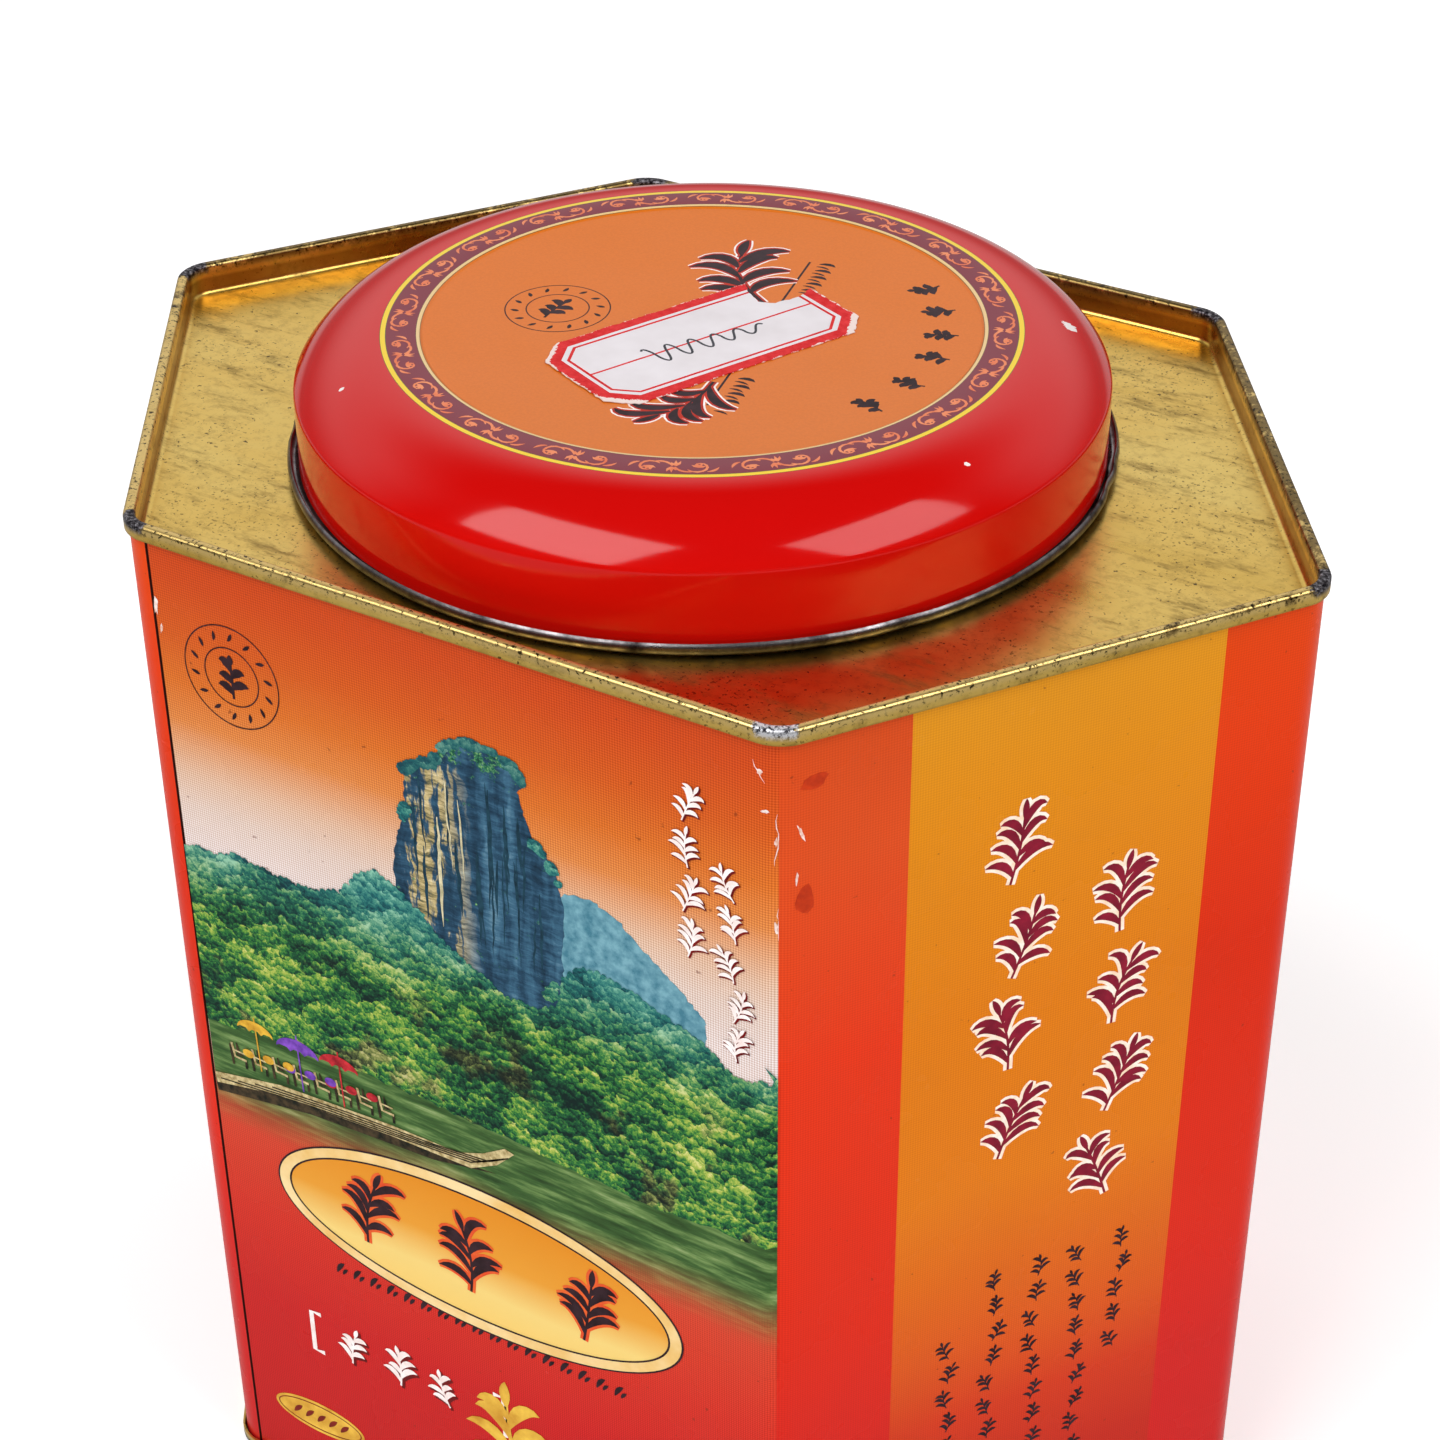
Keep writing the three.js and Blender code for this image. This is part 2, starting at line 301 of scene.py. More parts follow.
def goldLacquer():
    # transparent gold lacquer over bright tinplate: brassy, with dark pinholes, smears and worn corners
    material, tree, shader = newMaterial("goldLacquer", {"Metallic": 1.0})
    point, x, y, z = place(tree)
    stretched = addNode(tree, "Mapping", {"Vector": point, "Scale": (0.55, 1.3, 1.0)})
    patches = addNode(tree, "TexNoise", {
        "Vector": stretched, "Scale": perMm(22), "Detail": 4.0, "Roughness": 0.6})
    color = addNode(tree, "ValToRGB", [patches], ramp=[
        (0.3, "#cfa84a"), (0.5, "#e6c164"), (0.7, "#f0d076")])
    stretched = addNode(tree, "Mapping", {"Vector": point, "Scale": (0.4, 1.4, 1.0)})
    smears = blotches(tree, stretched, 4.5, 6.0, 0.75, 0.5, 0.74)
    color = inked(tree, color, "#6b5222", smears, 0.62)
    cloud = blotches(tree, point, 1.6, 5.0, 0.75, 0.46, 0.68)
    color = inked(tree, color, "#8a6d30", cloud, 0.3)
    pinholes = blotches(tree, point, 0.9, 2.0, 0.6, 0.69, 0.73)
    crowded = blotches(tree, point, 16, 3.0, 0.6, 0.42, 0.62, 0.0, 0.075)
    grit = addNode(tree, "TexNoise", {
        "Vector": point, "Scale": perMm(0.5), "Detail": 2.0, "Roughness": 0.5})
    grit = addNode(tree, "Math", [grit, crowded], operation="ADD")
    grit = addNode(tree, "MapRange", [grit, 0.69, 0.73], **smooth)
    color = inked(tree, color, "#2b1f12", pinholes, 0.85)
    color = inked(tree, color, "#4a3515", grit, 0.6)

    # the wall inside the seam is painted browner than the plate, as painted shade in the recess
    plateZ = rimZ - seam["recess"]
    recessWallShade = addNode(tree, "MapRange", [z, (plateZ + 0.1) * mm, (plateZ + 0.7) * mm, 0.0, 0.6])
    underLeg = addNode(tree, "MapRange", [z, (rimZ - 1.7) * mm, (rimZ - 2.1) * mm])
    recessWallShade = addNode(tree, "Math", [recessWallShade, underLeg], operation="MULTIPLY")
    color = addNode(tree, "MixRGB", [recessWallShade, color, hexColor("#8a5c22")])

    # both seams' crowns are painted paler as a painted highlight; the crown is also rubbed and grimed,
    # most of all at the back and the corners
    onSeam = addNode(tree, "MapRange", [z, (rimZ - 1.6) * mm, (rimZ - 0.5) * mm], **smooth)
    atBase = addNode(tree, "MapRange", [z, 1.6 * mm, 0.6 * mm], **smooth)
    onSeam = addNode(tree, "Math", [onSeam, atBase], operation="MAXIMUM")
    # painted highlight: a pale gold laid over the seams
    color = inked(tree, color, "#f2d38c", onSeam, 0.7)
    toBack = addNode(tree, "MapRange", [y, -35 * mm, 25 * mm, -0.09, 0.12], **smooth)
    grime = addNode(tree, "TexNoise", {
        "Vector": point, "Scale": perMm(2.4), "Detail": 6.0, "Roughness": 0.75})
    grime = addNode(tree, "Math", [grime, toBack], operation="ADD")
    grime = addNode(tree, "MapRange", [grime, 0.47, 0.6], **smooth)
    grime = addNode(tree, "Math", [grime, onSeam], operation="MULTIPLY")
    color = inked(tree, color, "#5a4320", grime, 0.8)
    scuffs = blotches(tree, point, 0.6, 4.0, 0.7, 0.56, 0.61)
    scuffs = addNode(tree, "Math", [scuffs, onSeam], operation="MULTIPLY")
    color = inked(tree, color, "#15110c", scuffs, 0.92)
    wear = addNode(tree, "Math", [nearCorner(tree, x, y, 5.5), 0.75], operation="MULTIPLY")
    uneven = addNode(tree, "TexNoise", {
        "Vector": point, "Scale": perMm(1.3), "Detail": 4.0, "Roughness": 0.7})
    uneven = addNode(tree, "Math", [uneven, 0.5], operation="MULTIPLY")
    worn = addNode(tree, "Math", [wear, uneven], operation="ADD")
    worn = addNode(tree, "MapRange", [worn, 0.62, 0.72], **smooth)
    worn = addNode(tree, "Math", [worn, onSeam], operation="MULTIPLY")
    grain = addNode(tree, "TexNoise", {
        "Vector": point, "Scale": perMm(0.5), "Detail": 3.0, "Roughness": 0.7})
    toRight = addNode(tree, "Math", [x, 20 * mm], operation="GREATER_THAN")
    toFront = addNode(tree, "Math", [y, -40 * mm], operation="LESS_THAN")
    knocked = addNode(tree, "Math", [toRight, toFront], operation="MULTIPLY")
    bare = addNode(tree, "ValToRGB", [grain], ramp=[
        (0.38, "#24222a"), (0.46, "#b3b3ba"), (0.55, "#fbfbff")])
    tarnished = addNode(tree, "ValToRGB", [grain], ramp=[
        (0.38, "#17141a"), (0.5, "#4d484c"), (0.66, "#a9a6ac")])
    metal = addNode(tree, "MixRGB", [knocked, tarnished, bare])
    color = addNode(tree, "MixRGB", [worn, color, metal])

    rough = addNode(tree, "MapRange", [patches, 0.3, 0.7, 0.26, 0.34], **smooth)
    rubbed = addNode(tree, "Math", [smears, worn], operation="ADD")
    for mask, matter in ((rubbed, 0.16), (onSeam, 0.08)):
        more = addNode(tree, "Math", [mask, matter], operation="MULTIPLY")
        rough = addNode(tree, "Math", [rough, more], operation="ADD")
    waves = addNode(tree, "TexNoise", {
        "Vector": point, "Scale": perMm(14), "Detail": 2.0, "Roughness": 0.55})
    pits = addNode(tree, "Math", [pinholes, -0.08], operation="MULTIPLY")
    height = addNode(tree, "Math", [waves, pits], operation="ADD")
    bump = addNode(tree, "Bump", {"Height": height, "Distance": 0.3 * mm, "Strength": 0.35})
    surface(tree, shader, color, rough, bump)
    return material


def bareTinplate(name, light, dark):
    # uncoated tinplate where the sheet was cut or rubbed: grey, finely scratched, darkened by handling
    material, tree, shader = newMaterial(name, {"Metallic": 1.0})
    point = addNode(tree, "TexCoord", out="Object")
    stain = addNode(tree, "TexNoise", {
        "Vector": point, "Scale": perMm(5), "Detail": 5.0, "Roughness": 0.7})
    color = addNode(tree, "ValToRGB", [stain], ramp=[(0.35, dark), (0.65, light)])
    rough = addNode(tree, "MapRange", [stain, 0.3, 0.7, 0.42, 0.26], **smooth)
    squashed = addNode(tree, "Mapping", {"Vector": point, "Scale": (1.0, 1.0, 6.0)})
    scratch = addNode(tree, "TexNoise", {
        "Vector": squashed, "Scale": perMm(0.4), "Detail": 3.0, "Roughness": 0.6})
    bump = addNode(tree, "Bump", {"Height": scratch, "Distance": 0.05 * mm, "Strength": 0.3})
    surface(tree, shader, color, rough, bump)
    return material


lidPrint = {
    "discRadius": 35.45, "goldLine": 35.95, "bandRadius": 39.75, "ringRadius": 40.45,
    "hairline": 0.08,       # dark edges of the gold and yellow lines
}


def redEnamel():
    # stoved red enamel over tinplate with a printed roundel: deep colour under a mirror-like coat
    material, tree, shader = newMaterial("redEnamel", {"Specular IOR Level": 0.28})
    point, x, y, z = place(tree)
    radius = fromAxis(tree, x, y)
    hairline = lidPrint["hairline"]
    color = hexColor("#dc7219")
    zones = [
        ("discRadius", "#7d5a2a", "#e6c489"), ("goldLine", "#5d3a26", "#78102a"),
        ("bandRadius", "#3d4a22", "#f0cc22"), ("ringRadius", "#5a5216", "#c90a08")]
    for edge, edgeInk, nextInk in zones:
        for start, ink in ((lidPrint[edge], edgeInk), (lidPrint[edge] + hairline, nextInk)):
            past = addNode(tree, "Math", [radius, start * mm], operation="GREATER_THAN")
            color = addNode(tree, "MixRGB", [past, color, hexColor(ink)])
    # painted light: the skirt turns a brighter red towards its foot
    skirtPaintedLight = addNode(tree, "MapRange", [z, (lidLow + 13) * mm, (lidLow + 6) * mm], **smooth)
    color = addNode(tree, "MixRGB", [skirtPaintedLight, color, hexColor("#da1006")])
    onDisc = addNode(tree, "Math", [radius, lidPrint["discRadius"] * mm], operation="LESS_THAN")
    grain = blotches(tree, point, 0.35, 2.0, 0.55, 0.3, 0.7)
    grain = addNode(tree, "Math", [grain, onDisc], operation="MULTIPLY")
    color = inked(tree, color, "#b85c14", grain, 0.18)
    nick = addNode(tree, "TexNoise", {
        "Vector": point, "Scale": perMm(1.0), "Detail": 3.0, "Roughness": 0.55})
    for (chipX, chipY), size in lid["chips"]:
        past = math.hypot(chipX, chipY) - lid["flat"]
        chipZ = lidHigh - lid["shoulder"] + math.sqrt(lid["shoulder"] ** 2 - max(0.0, past) ** 2)
        spot = (chipX * mm, chipY * mm, chipZ * mm)
        gap = addNode(tree, "VectorMath", [point, spot], out="Value", operation="DISTANCE")
        edge = addNode(tree, "Math", [nick, 0.15], operation="SUBTRACT")
        edge = addNode(tree, "Math", [edge, size * 3 * mm], operation="MULTIPLY")
        inChip = addNode(tree, "Math", [gap, edge], operation="LESS_THAN")
        color = addNode(tree, "MixRGB", [inChip, color, hexColor("#f3e9e6")])

    matt = addNode(tree, "Math", [onDisc, 0.25], operation="MULTIPLY")
    rubbed = blotches(tree, point, 12, 4.0, 0.55, 0.4, 0.8, 0.09, 0.13)
    rough = addNode(tree, "Math", [rubbed, matt], operation="ADD")
    waves = addNode(tree, "TexNoise", {
        "Vector": point, "Scale": perMm(30), "Detail": 2.0, "Roughness": 0.55})
    bump = addNode(tree, "Bump", {"Height": waves, "Distance": 0.3 * mm, "Strength": 0.12})
    surface(tree, shader, color, rough, bump)
    return material


def flatInk(name, light, dark, size=2.5):
    # one printing ink under the varnish, slightly uneven as offset ink is
    material, tree, shader = newMaterial(name, varnish)
    point = addNode(tree, "TexCoord", out="Object")
    uneven = addNode(tree, "TexNoise", {
        "Vector": point, "Scale": perMm(size), "Detail": 4.0, "Roughness": 0.6})
    color = addNode(tree, "ValToRGB", [uneven], ramp=[(0.35, dark), (0.65, light)])
    surface(tree, shader, color)
    return material


def shaken(tree, point, size, reach):
    # the point pushed about by noise, to break up a regular pattern
    wander = addNode(tree, "TexNoise", {"Vector": point, "Scale": perMm(size), "Detail": 3.0}, out="Color")
    push = addNode(tree, "VectorMath", [wander, (0.5, 0.5, 0.5)], operation="SUBTRACT")
    push = addNode(tree, "VectorMath", {0: push, "Scale": reach * mm}, operation="SCALE")
    return addNode(tree, "VectorMath", [point, push], operation="ADD")


def foliageInk():
    # four-colour print of wooded hills: clumped crowns, lit from above, bluer towards the ridge
    material, tree, shader = newMaterial("foliageInk", varnish)
    point, _, _, z = place(tree)
    tones = []
    for size, reach in ((4.2, 5.0), (1.3, 2.0)):
        loose = shaken(tree, point, size * 0.8, reach)
        cells = addNode(tree, "TexVoronoi", {
            "Vector": loose, "Scale": perMm(size), "Randomness": 1.0}, out="Position")
        cellZ = addNode(tree, "SeparateXYZ", [cells], out=2)
        looseZ = addNode(tree, "SeparateXYZ", [loose], out=2)
        above = addNode(tree, "Math", [looseZ, cellZ], operation="SUBTRACT")
        tones.append(addNode(tree, "Math", [above, perMm(size)], operation="MULTIPLY"))
    leaves = addNode(tree, "TexNoise", {
        "Vector": point, "Scale": perMm(0.7), "Detail": 5.0, "Roughness": 0.8})
    stands = addNode(tree, "TexNoise", {
        "Vector": point, "Scale": perMm(13), "Detail": 4.0, "Roughness": 0.65})
    tone = addNode(tree, "Math", [tones[0], 0.2], operation="MULTIPLY")
    for part, share in ((tones[1], 0.22), (leaves, 0.95), (stands, 0.85)):
        more = addNode(tree, "Math", [part, share], operation="MULTIPLY")
        tone = addNode(tree, "Math", [tone, more], operation="ADD")
    tone = addNode(tree, "Math", [tone, 0.42], operation="SUBTRACT")
    green = addNode(tree, "ValToRGB", [tone], ramp=[
        (0.25, "#0b2320"), (0.4, "#174a30"), (0.5, "#2c7536"), (0.6, "#6a9a3c"), (0.72, "#aeba50"),
        (0.85, "#d3d283")])
    blue = addNode(tree, "ValToRGB", [tone], ramp=[
        (0.25, "#0f3a46"), (0.45, "#1d6668"), (0.6, "#438a7c"), (0.8, "#86bfa6")])
    crowning = addNode(tree, "MapRange", [z, 130 * mm, 136 * mm, 0.0, 0.5], **smooth)
    blue = addNode(tree, "MixRGB", [crowning, blue, hexColor("#1b4650")])
    far = addNode(tree, "Math", [stands, 16 * mm], operation="MULTIPLY")
    far = addNode(tree, "Math", [z, far], operation="ADD")
    far = addNode(tree, "MapRange", [far, 108 * mm, 125 * mm], **smooth)
    earth = addNode(tree, "ValToRGB", [tone], ramp=[
        (0.25, "#1a1f17"), (0.45, "#4b4a2c"), (0.6, "#83804a"), (0.8, "#b9b183")])
    clearings = blotches(tree, point, 7, 4.0, 0.6, 0.54, 0.64)
    nearShore = addNode(tree, "MapRange", [z, 104 * mm, 95 * mm, 0.0, 0.75], **smooth)
    clearings = addNode(tree, "Math", [clearings, nearShore], operation="MULTIPLY")
    green = addNode(tree, "MixRGB", [clearings, green, earth])
    surface(tree, shader, addNode(tree, "MixRGB", [far, green, blue]))
    return material


def rockInk():
    # the same print's rock tower: upright runs of pale stone and blue shade, crossed by beds
    material, tree, shader = newMaterial("rockInk", varnish)
    point, x, y, z = place(tree)
    loose = shaken(tree, point, 3.0, 1.6)
    upright = addNode(tree, "Mapping", {"Vector": loose, "Scale": (1.0, 1.0, 0.12)})
    runs = addNode(tree, "TexNoise", {
        "Vector": upright, "Scale": perMm(2.4), "Detail": 4.0, "Roughness": 0.6})
    level = addNode(tree, "Mapping", {"Vector": loose, "Scale": (0.3, 0.3, 1.8)})
    beds = addNode(tree, "TexNoise", {
        "Vector": level, "Scale": perMm(1.5), "Detail": 5.0, "Roughness": 0.75})
    side = addNode(tree, "Math", [y], operation="SIGN")
    side = addNode(tree, "Math", [side, -1.0], operation="MULTIPLY")
    across = addNode(tree, "Math", [x, side], operation="MULTIPLY")
    left = addNode(tree, "MapRange", [across, 4.5 * mm, -1.5 * mm], **smooth)
    mostlyRuns = addNode(tree, "Math", [runs, 0.55], operation="MULTIPLY")
    someBeds = addNode(tree, "Math", [beds, 0.45], operation="MULTIPLY")
    relief = addNode(tree, "Math", [mostlyRuns, someBeds], operation="ADD")
    shade = addNode(tree, "ValToRGB", [relief], ramp=[
        (0.36, "#0e2433"), (0.48, "#21425a"), (0.58, "#3a647e"), (0.7, "#6a90a2")])
    stone = addNode(tree, "ValToRGB", [beds], ramp=[
        (0.38, "#3a4740"), (0.47, "#9a8a5a"), (0.58, "#cdb987"), (0.7, "#e8dcb4")])
    lessAtTop = addNode(tree, "MapRange", [z, 141 * mm, 136 * mm, -0.12, 0.0], **smooth)
    lit = addNode(tree, "Math", [runs, lessAtTop], operation="ADD")
    lit = addNode(tree, "MapRange", [lit, 0.49, 0.54], **smooth)
    lit = addNode(tree, "Math", [lit, left], operation="MULTIPLY")
    color = addNode(tree, "MixRGB", [lit, shade, stone])
    bush = addNode(tree, "TexNoise", {
        "Vector": point, "Scale": perMm(2.2), "Detail": 5.0, "Roughness": 0.75})
    moreAtTop = addNode(tree, "MapRange", [z, 136 * mm, 143 * mm, 0.0, 0.2], **smooth)
    bush = addNode(tree, "Math", [bush, moreAtTop], operation="ADD")
    bush = addNode(tree, "MapRange", [bush, 0.62, 0.68], **smooth)
    leaves = addNode(tree, "TexNoise", {
        "Vector": point, "Scale": perMm(0.6), "Detail": 4.0, "Roughness": 0.8})
    leaves = addNode(tree, "ValToRGB", [leaves], ramp=[
        (0.4, "#123c34"), (0.52, "#2c7350"), (0.64, "#7fae6c")])
    surface(tree, shader, addNode(tree, "MixRGB", [bush, color, leaves]))
    return material


def waterInk():
    # the print's river, streaked by reflections, fading through orange into the red ground
    material, tree, shader = newMaterial("waterInk", varnish)
    point, x, _, z = place(tree)
    drawnOut = addNode(tree, "Mapping", {"Vector": point, "Scale": (0.16, 1.0, 1.4)})
    ripples = addNode(tree, "TexNoise", {
        "Vector": drawnOut, "Scale": perMm(2.2), "Detail": 5.0, "Roughness": 0.65})
    water = addNode(tree, "ValToRGB", [ripples], ramp=[
        (0.3, "#22381b"), (0.48, "#3d5f2f"), (0.6, "#69884c"), (0.76, "#a6b680")])
    drawnOut = addNode(tree, "Mapping", {"Vector": point, "Scale": (0.4, 1.0, 1.0)})
    shore = addNode(tree, "TexNoise", {
        "Vector": drawnOut, "Scale": perMm(12), "Detail": 3.0, "Roughness": 0.6})
    shore = addNode(tree, "Math", [shore, 6 * mm], operation="MULTIPLY")
    shore = addNode(tree, "Math", [z, shore], operation="ADD")
    wash = addNode(tree, "MapRange", [shore, 77.5 * mm, 67.5 * mm], **smooth)
    ground = halftone(tree, x, z, inkRamp(tree, z, "wide"), 0.7)
    orange = addNode(tree, "MapRange", [z, 68 * mm, 74 * mm], **smooth)
    ground = addNode(tree, "MixRGB", [orange, ground, hexColor("#b4543a")])
    surface(tree, shader, addNode(tree, "MixRGB", [wash, water, ground]))
    return material


def cartoucheInk():
    # gold-toned oval: amber at the top melting to pale gold at the bottom
    material, tree, shader = newMaterial("cartoucheInk", varnish)
    point, _, _, z = place(tree)
    rise = addNode(tree, "Math", [z, 46 * mm], operation="SUBTRACT")
    rise = addNode(tree, "Math", [rise, 26 * mm], operation="DIVIDE")
    uneven = addNode(tree, "TexNoise", {
        "Vector": point, "Scale": perMm(20), "Detail": 2.0, "Roughness": 0.55})
    uneven = addNode(tree, "Math", [uneven, 0.12], operation="MULTIPLY")
    tone = addNode(tree, "Math", [rise, uneven], operation="ADD")
    color = addNode(tree, "ValToRGB", [tone], ramp=[
        (0.05, "#f0c868"), (0.35, "#eecf7a"), (0.6, "#e39a30"), (0.95, "#dd8a1c")])
    surface(tree, shader, color)
    return material


def labelPaper():
    # gummed paper label: white, matt, printed with a red border, a frame with cut corners and a rule
    material, tree, shader = newMaterial("labelPaper", {"Roughness": 0.85, "Specular IOR Level": 0.25})
    point = addNode(tree, "TexCoord", out="Object")
    turn = math.radians(label["turn"])
    turned = addNode(tree, "Mapping", {"Vector": point, "Rotation": (0, 0, -turn)}, vector_type="POINT")
    turnedX, turnedY = addNode(tree, "SeparateXYZ", [turned], out=(0, 1))
    cx, cy = label["centre"]
    middleU = cx * math.cos(turn) + cy * math.sin(turn)
    middleV = cy * math.cos(turn) - cx * math.sin(turn)
    u = addNode(tree, "Math", [turnedX, middleU * mm], operation="SUBTRACT")
    v = addNode(tree, "Math", [turnedY, middleV * mm], operation="SUBTRACT")
    absU = addNode(tree, "Math", [u], operation="ABSOLUTE")
    absV = addNode(tree, "Math", [v], operation="ABSOLUTE")

    def outside(half, cut):
        # how far a point is outside an octagon, in metres
        pastU = addNode(tree, "Math", [absU, half[0] * mm], operation="SUBTRACT")
        pastV = addNode(tree, "Math", [absV, half[1] * mm], operation="SUBTRACT")
        sides = addNode(tree, "Math", [pastU, pastV], operation="MAXIMUM")
        corner = addNode(tree, "Math", [absU, absV], operation="ADD")
        corner = addNode(tree, "Math", [corner, (sum(half) - cut) * mm], operation="SUBTRACT")
        corner = addNode(tree, "Math", [corner, 0.707], operation="MULTIPLY")
        return addNode(tree, "Math", [sides, corner], operation="MAXIMUM")

    frameGap = outside(label["frame"], label["frameCut"])
    onFrame = addNode(tree, "Math", [frameGap], operation="ABSOLUTE")
    onFrame = addNode(tree, "Math", [onFrame, 0.2 * mm], operation="LESS_THAN")
    border = outside(label["border"], label["borderCut"])
    border = addNode(tree, "Math", [border, 0.0], operation="GREATER_THAN")
    rule = addNode(tree, "Math", [absV, 0.17 * mm], operation="LESS_THAN")
    inFrame = addNode(tree, "Math", [frameGap, 0.0], operation="LESS_THAN")
    rule = addNode(tree, "Math", [rule, inFrame], operation="MULTIPLY")
    printed = addNode(tree, "Math", [onFrame, border], operation="MAXIMUM")
    printed = addNode(tree, "Math", [printed, rule], operation="MAXIMUM")
    pulp = addNode(tree, "TexNoise", {
        "Vector": point, "Scale": perMm(9), "Detail": 3.0, "Roughness": 0.6})
    paper = addNode(tree, "ValToRGB", [pulp], ramp=[(0.3, "#dcd5d8"), (0.7, "#e8e2e6")])
    patchy = addNode(tree, "TexNoise", {
        "Vector": point, "Scale": perMm(1.2), "Detail": 4.0, "Roughness": 0.7})
    red = addNode(tree, "ValToRGB", [patchy], ramp=[(0.3, "#c81c20"), (0.7, "#e23a3c")])
    color = addNode(tree, "MixRGB", [printed, paper, red])

    # the border's ink has flaked where the paper frayed
    frayed = addNode(tree, "TexNoise", {
        "Vector": point, "Scale": perMm(0.9), "Detail": 5.0, "Roughness": 0.8})
    frayed = addNode(tree, "Math", [frayed, 1.8 * mm], operation="MULTIPLY")
    edge = outside(label["border"], label["borderCut"] + 0.6)
    frayed = addNode(tree, "Math", [edge, frayed], operation="ADD")
    frayed = addNode(tree, "Math", [frayed, 2.6 * mm], operation="GREATER_THAN")
    color = inked(tree, color, "#efe2dc", frayed, 0.9)
    fibres = addNode(tree, "TexNoise", {
        "Vector": point, "Scale": perMm(0.25), "Detail": 3.0, "Roughness": 0.7})
    bump = addNode(tree, "Bump", {"Height": fibres, "Distance": 0.03 * mm, "Strength": 0.4})
    surface(tree, shader, color, None, bump)
    return material


# the tin's body and end plates

def outlineFace(height):
    # the tin's rounded hexagon over its seams, as one face
    bm = bmesh.new()
    a, b, c = tin["halfSide"], tin["halfDepth"], tin["halfWidth"]
    corners = [(-a, -b), (a, -b), (c, 0), (a, b), (-a, b), (-c, 0)]
    verts = [bm.verts.new((x, y, height)) for x, y in corners]
    bm.faces.new(verts)
    wideTurn = math.atan2(b, c - a)
    groups = [(verts[0:2] + verts[3:5], wideTurn), ([verts[2], verts[5]], math.pi - 2 * wideTurn)]
    for group, turn in groups:
        bmesh.ops.bevel(bm, geom=group, offset=tin["cornerRadius"] * math.tan(turn / 2),
                        offset_type="OFFSET", affect="VERTICES", segments=8, profile=0.5, material=-1)
    straight = [e for e in bm.edges if e.calc_length() > 20]
    bmesh.ops.subdivide_edges(bm, edges=straight, cuts=tin["sideCuts"])
    return bm


def cutAcross(bm, x):
    # adds edges where an upright plane at x meets the mesh
    bmesh.ops.bisect_plane(bm, geom=bm.verts[:] + bm.edges[:] + bm.faces[:], plane_co=(x, 0, 0),
                           plane_no=(1, 0, 0))


def stepFace(bm, face, inward, up):
    # carries the face inwards and upwards, leaving a ring of wall behind it
    bmesh.ops.inset_region(bm, faces=[face], thickness=inward, depth=0, use_even_offset=True,
                           use_boundary=True)
    bmesh.ops.translate(bm, vec=(0, 0, up), verts=face.verts[:])


seam = {
    "height": 2.0,
    "bend": 0.55,           # outer radius of the fold
    "thickness": 1.5,
    "recess": 4.4,
    "fillet": 0.85,
    "groove": -42.8,        # x of the body's lock seam, on the front
    "grooveWidth": 0.4,
    "grooveDepth": 0.22,
}


def platePath():
    # (inward, up) steps over the seam's crown, down its inner wall and out onto the plate
    bend, flat = seam["bend"], seam["thickness"] - 2 * seam["bend"]
    line = [(0.0, -seam["height"])]
    line += [(bend - x, z - bend) for x, z in arc(0, 0, bend, 0, 90, 6)]
    line += [(bend + flat + x, z - bend) for x, z in arc(0, 0, bend, 90, 0, 6)]
    foot = seam["recess"] - seam["fillet"]
    start = seam["thickness"] + seam["fillet"]
    line += [(start + x, z - foot) for x, z in arc(0, 0, seam["fillet"], 180, 270, 6)]
    return line


def endPlate(name, material, holeRadius, flip):
    # pressed plate: folded seam, wall, and a panel that has a hole for the neck in the top one
    bm = outlineFace(-seam["height"])
    face = bm.faces[:][0]
    line = platePath()
    for (x0, z0), (x1, z1) in zip(line, line[1:]):
        stepFace(bm, face, x1 - x0, z1 - z0)
    if holeRadius:
        stepFace(bm, face, 0, 0)
        for vert in face.verts:
            vert.co.xy *= holeRadius / vert.co.xy.length
        bmesh.ops.delete(bm, geom=[face], context="FACES_ONLY")
    bmesh.ops.recalc_face_normals(bm, faces=bm.faces[:])
    outward = sum((f.normal.z * f.calc_area() for f in bm.faces if abs(f.normal.z) > 0.9), 0.0)
    if outward < 0:
        bmesh.ops.reverse_faces(bm, faces=bm.faces[:])
    if flip:
        bmesh.ops.rotate(bm, verts=bm.verts[:], cent=(0, 0, 0), matrix=Matrix.Rotation(math.pi, 3, "X"))
    else:
        bmesh.ops.translate(bm, vec=(0, 0, rimZ), verts=bm.verts[:])
    piece = finishPiece(name + "_pressed", bm, [material, material], "tin_body", name)
    sheetMetal(piece, -1)


def bodyWall(materials):
    # one printed sheet bent round six sides, with the groove of its lock seam
    low = tin["wallInset"]
    bm = outlineFace(low)
    face = bm.faces[:][0]
    bmesh.ops.inset_region(bm, faces=[face], thickness=low, depth=0, use_even_offset=True,
                           use_boundary=True)
    ring = [f for f in bm.faces if f is not face]
    bmesh.ops.delete(bm, geom=ring, context="FACES")
    half = seam["grooveWidth"] / 2
    for off in (-half, half * -0.3, half * 0.3, half):
        cutAcross(bm, seam["groove"] + off)
    sunk = [v for v in bm.verts if abs(v.co.x - seam["groove"]) < half * 0.5 and v.co.y < 0]
    bmesh.ops.translate(bm, vec=(0, seam["grooveDepth"], 0), verts=sunk)
    border = [e for e in bm.edges if len(e.link_faces) == 1]
    bmesh.ops.delete(bm, geom=bm.faces[:], context="FACES_ONLY")
    bmesh.ops.delete(bm, geom=[e for e in bm.edges if e not in border], context="EDGES")
    made = bmesh.ops.extrude_edge_only(bm, edges=bm.edges[:])
    top = [g for g in made["geom"] if isinstance(g, bmesh.types.BMVert)]
    bmesh.ops.translate(bm, vec=(0, 0, rimZ - 2 * low), verts=top)
    bmesh.ops.recalc_face_normals(bm, faces=bm.faces[:])
    out = sum(f.normal.dot(f.calc_center_median().xy.to_3d()) for f in bm.faces)
    if out < 0:
        bmesh.ops.reverse_faces(bm, faces=bm.faces[:])
    piece = finishPiece("body_shell_printed", bm, materials, "tin_body", "body_shell", 20)
    sheetMetal(piece, -1)


# neck, plug lid and slip lid

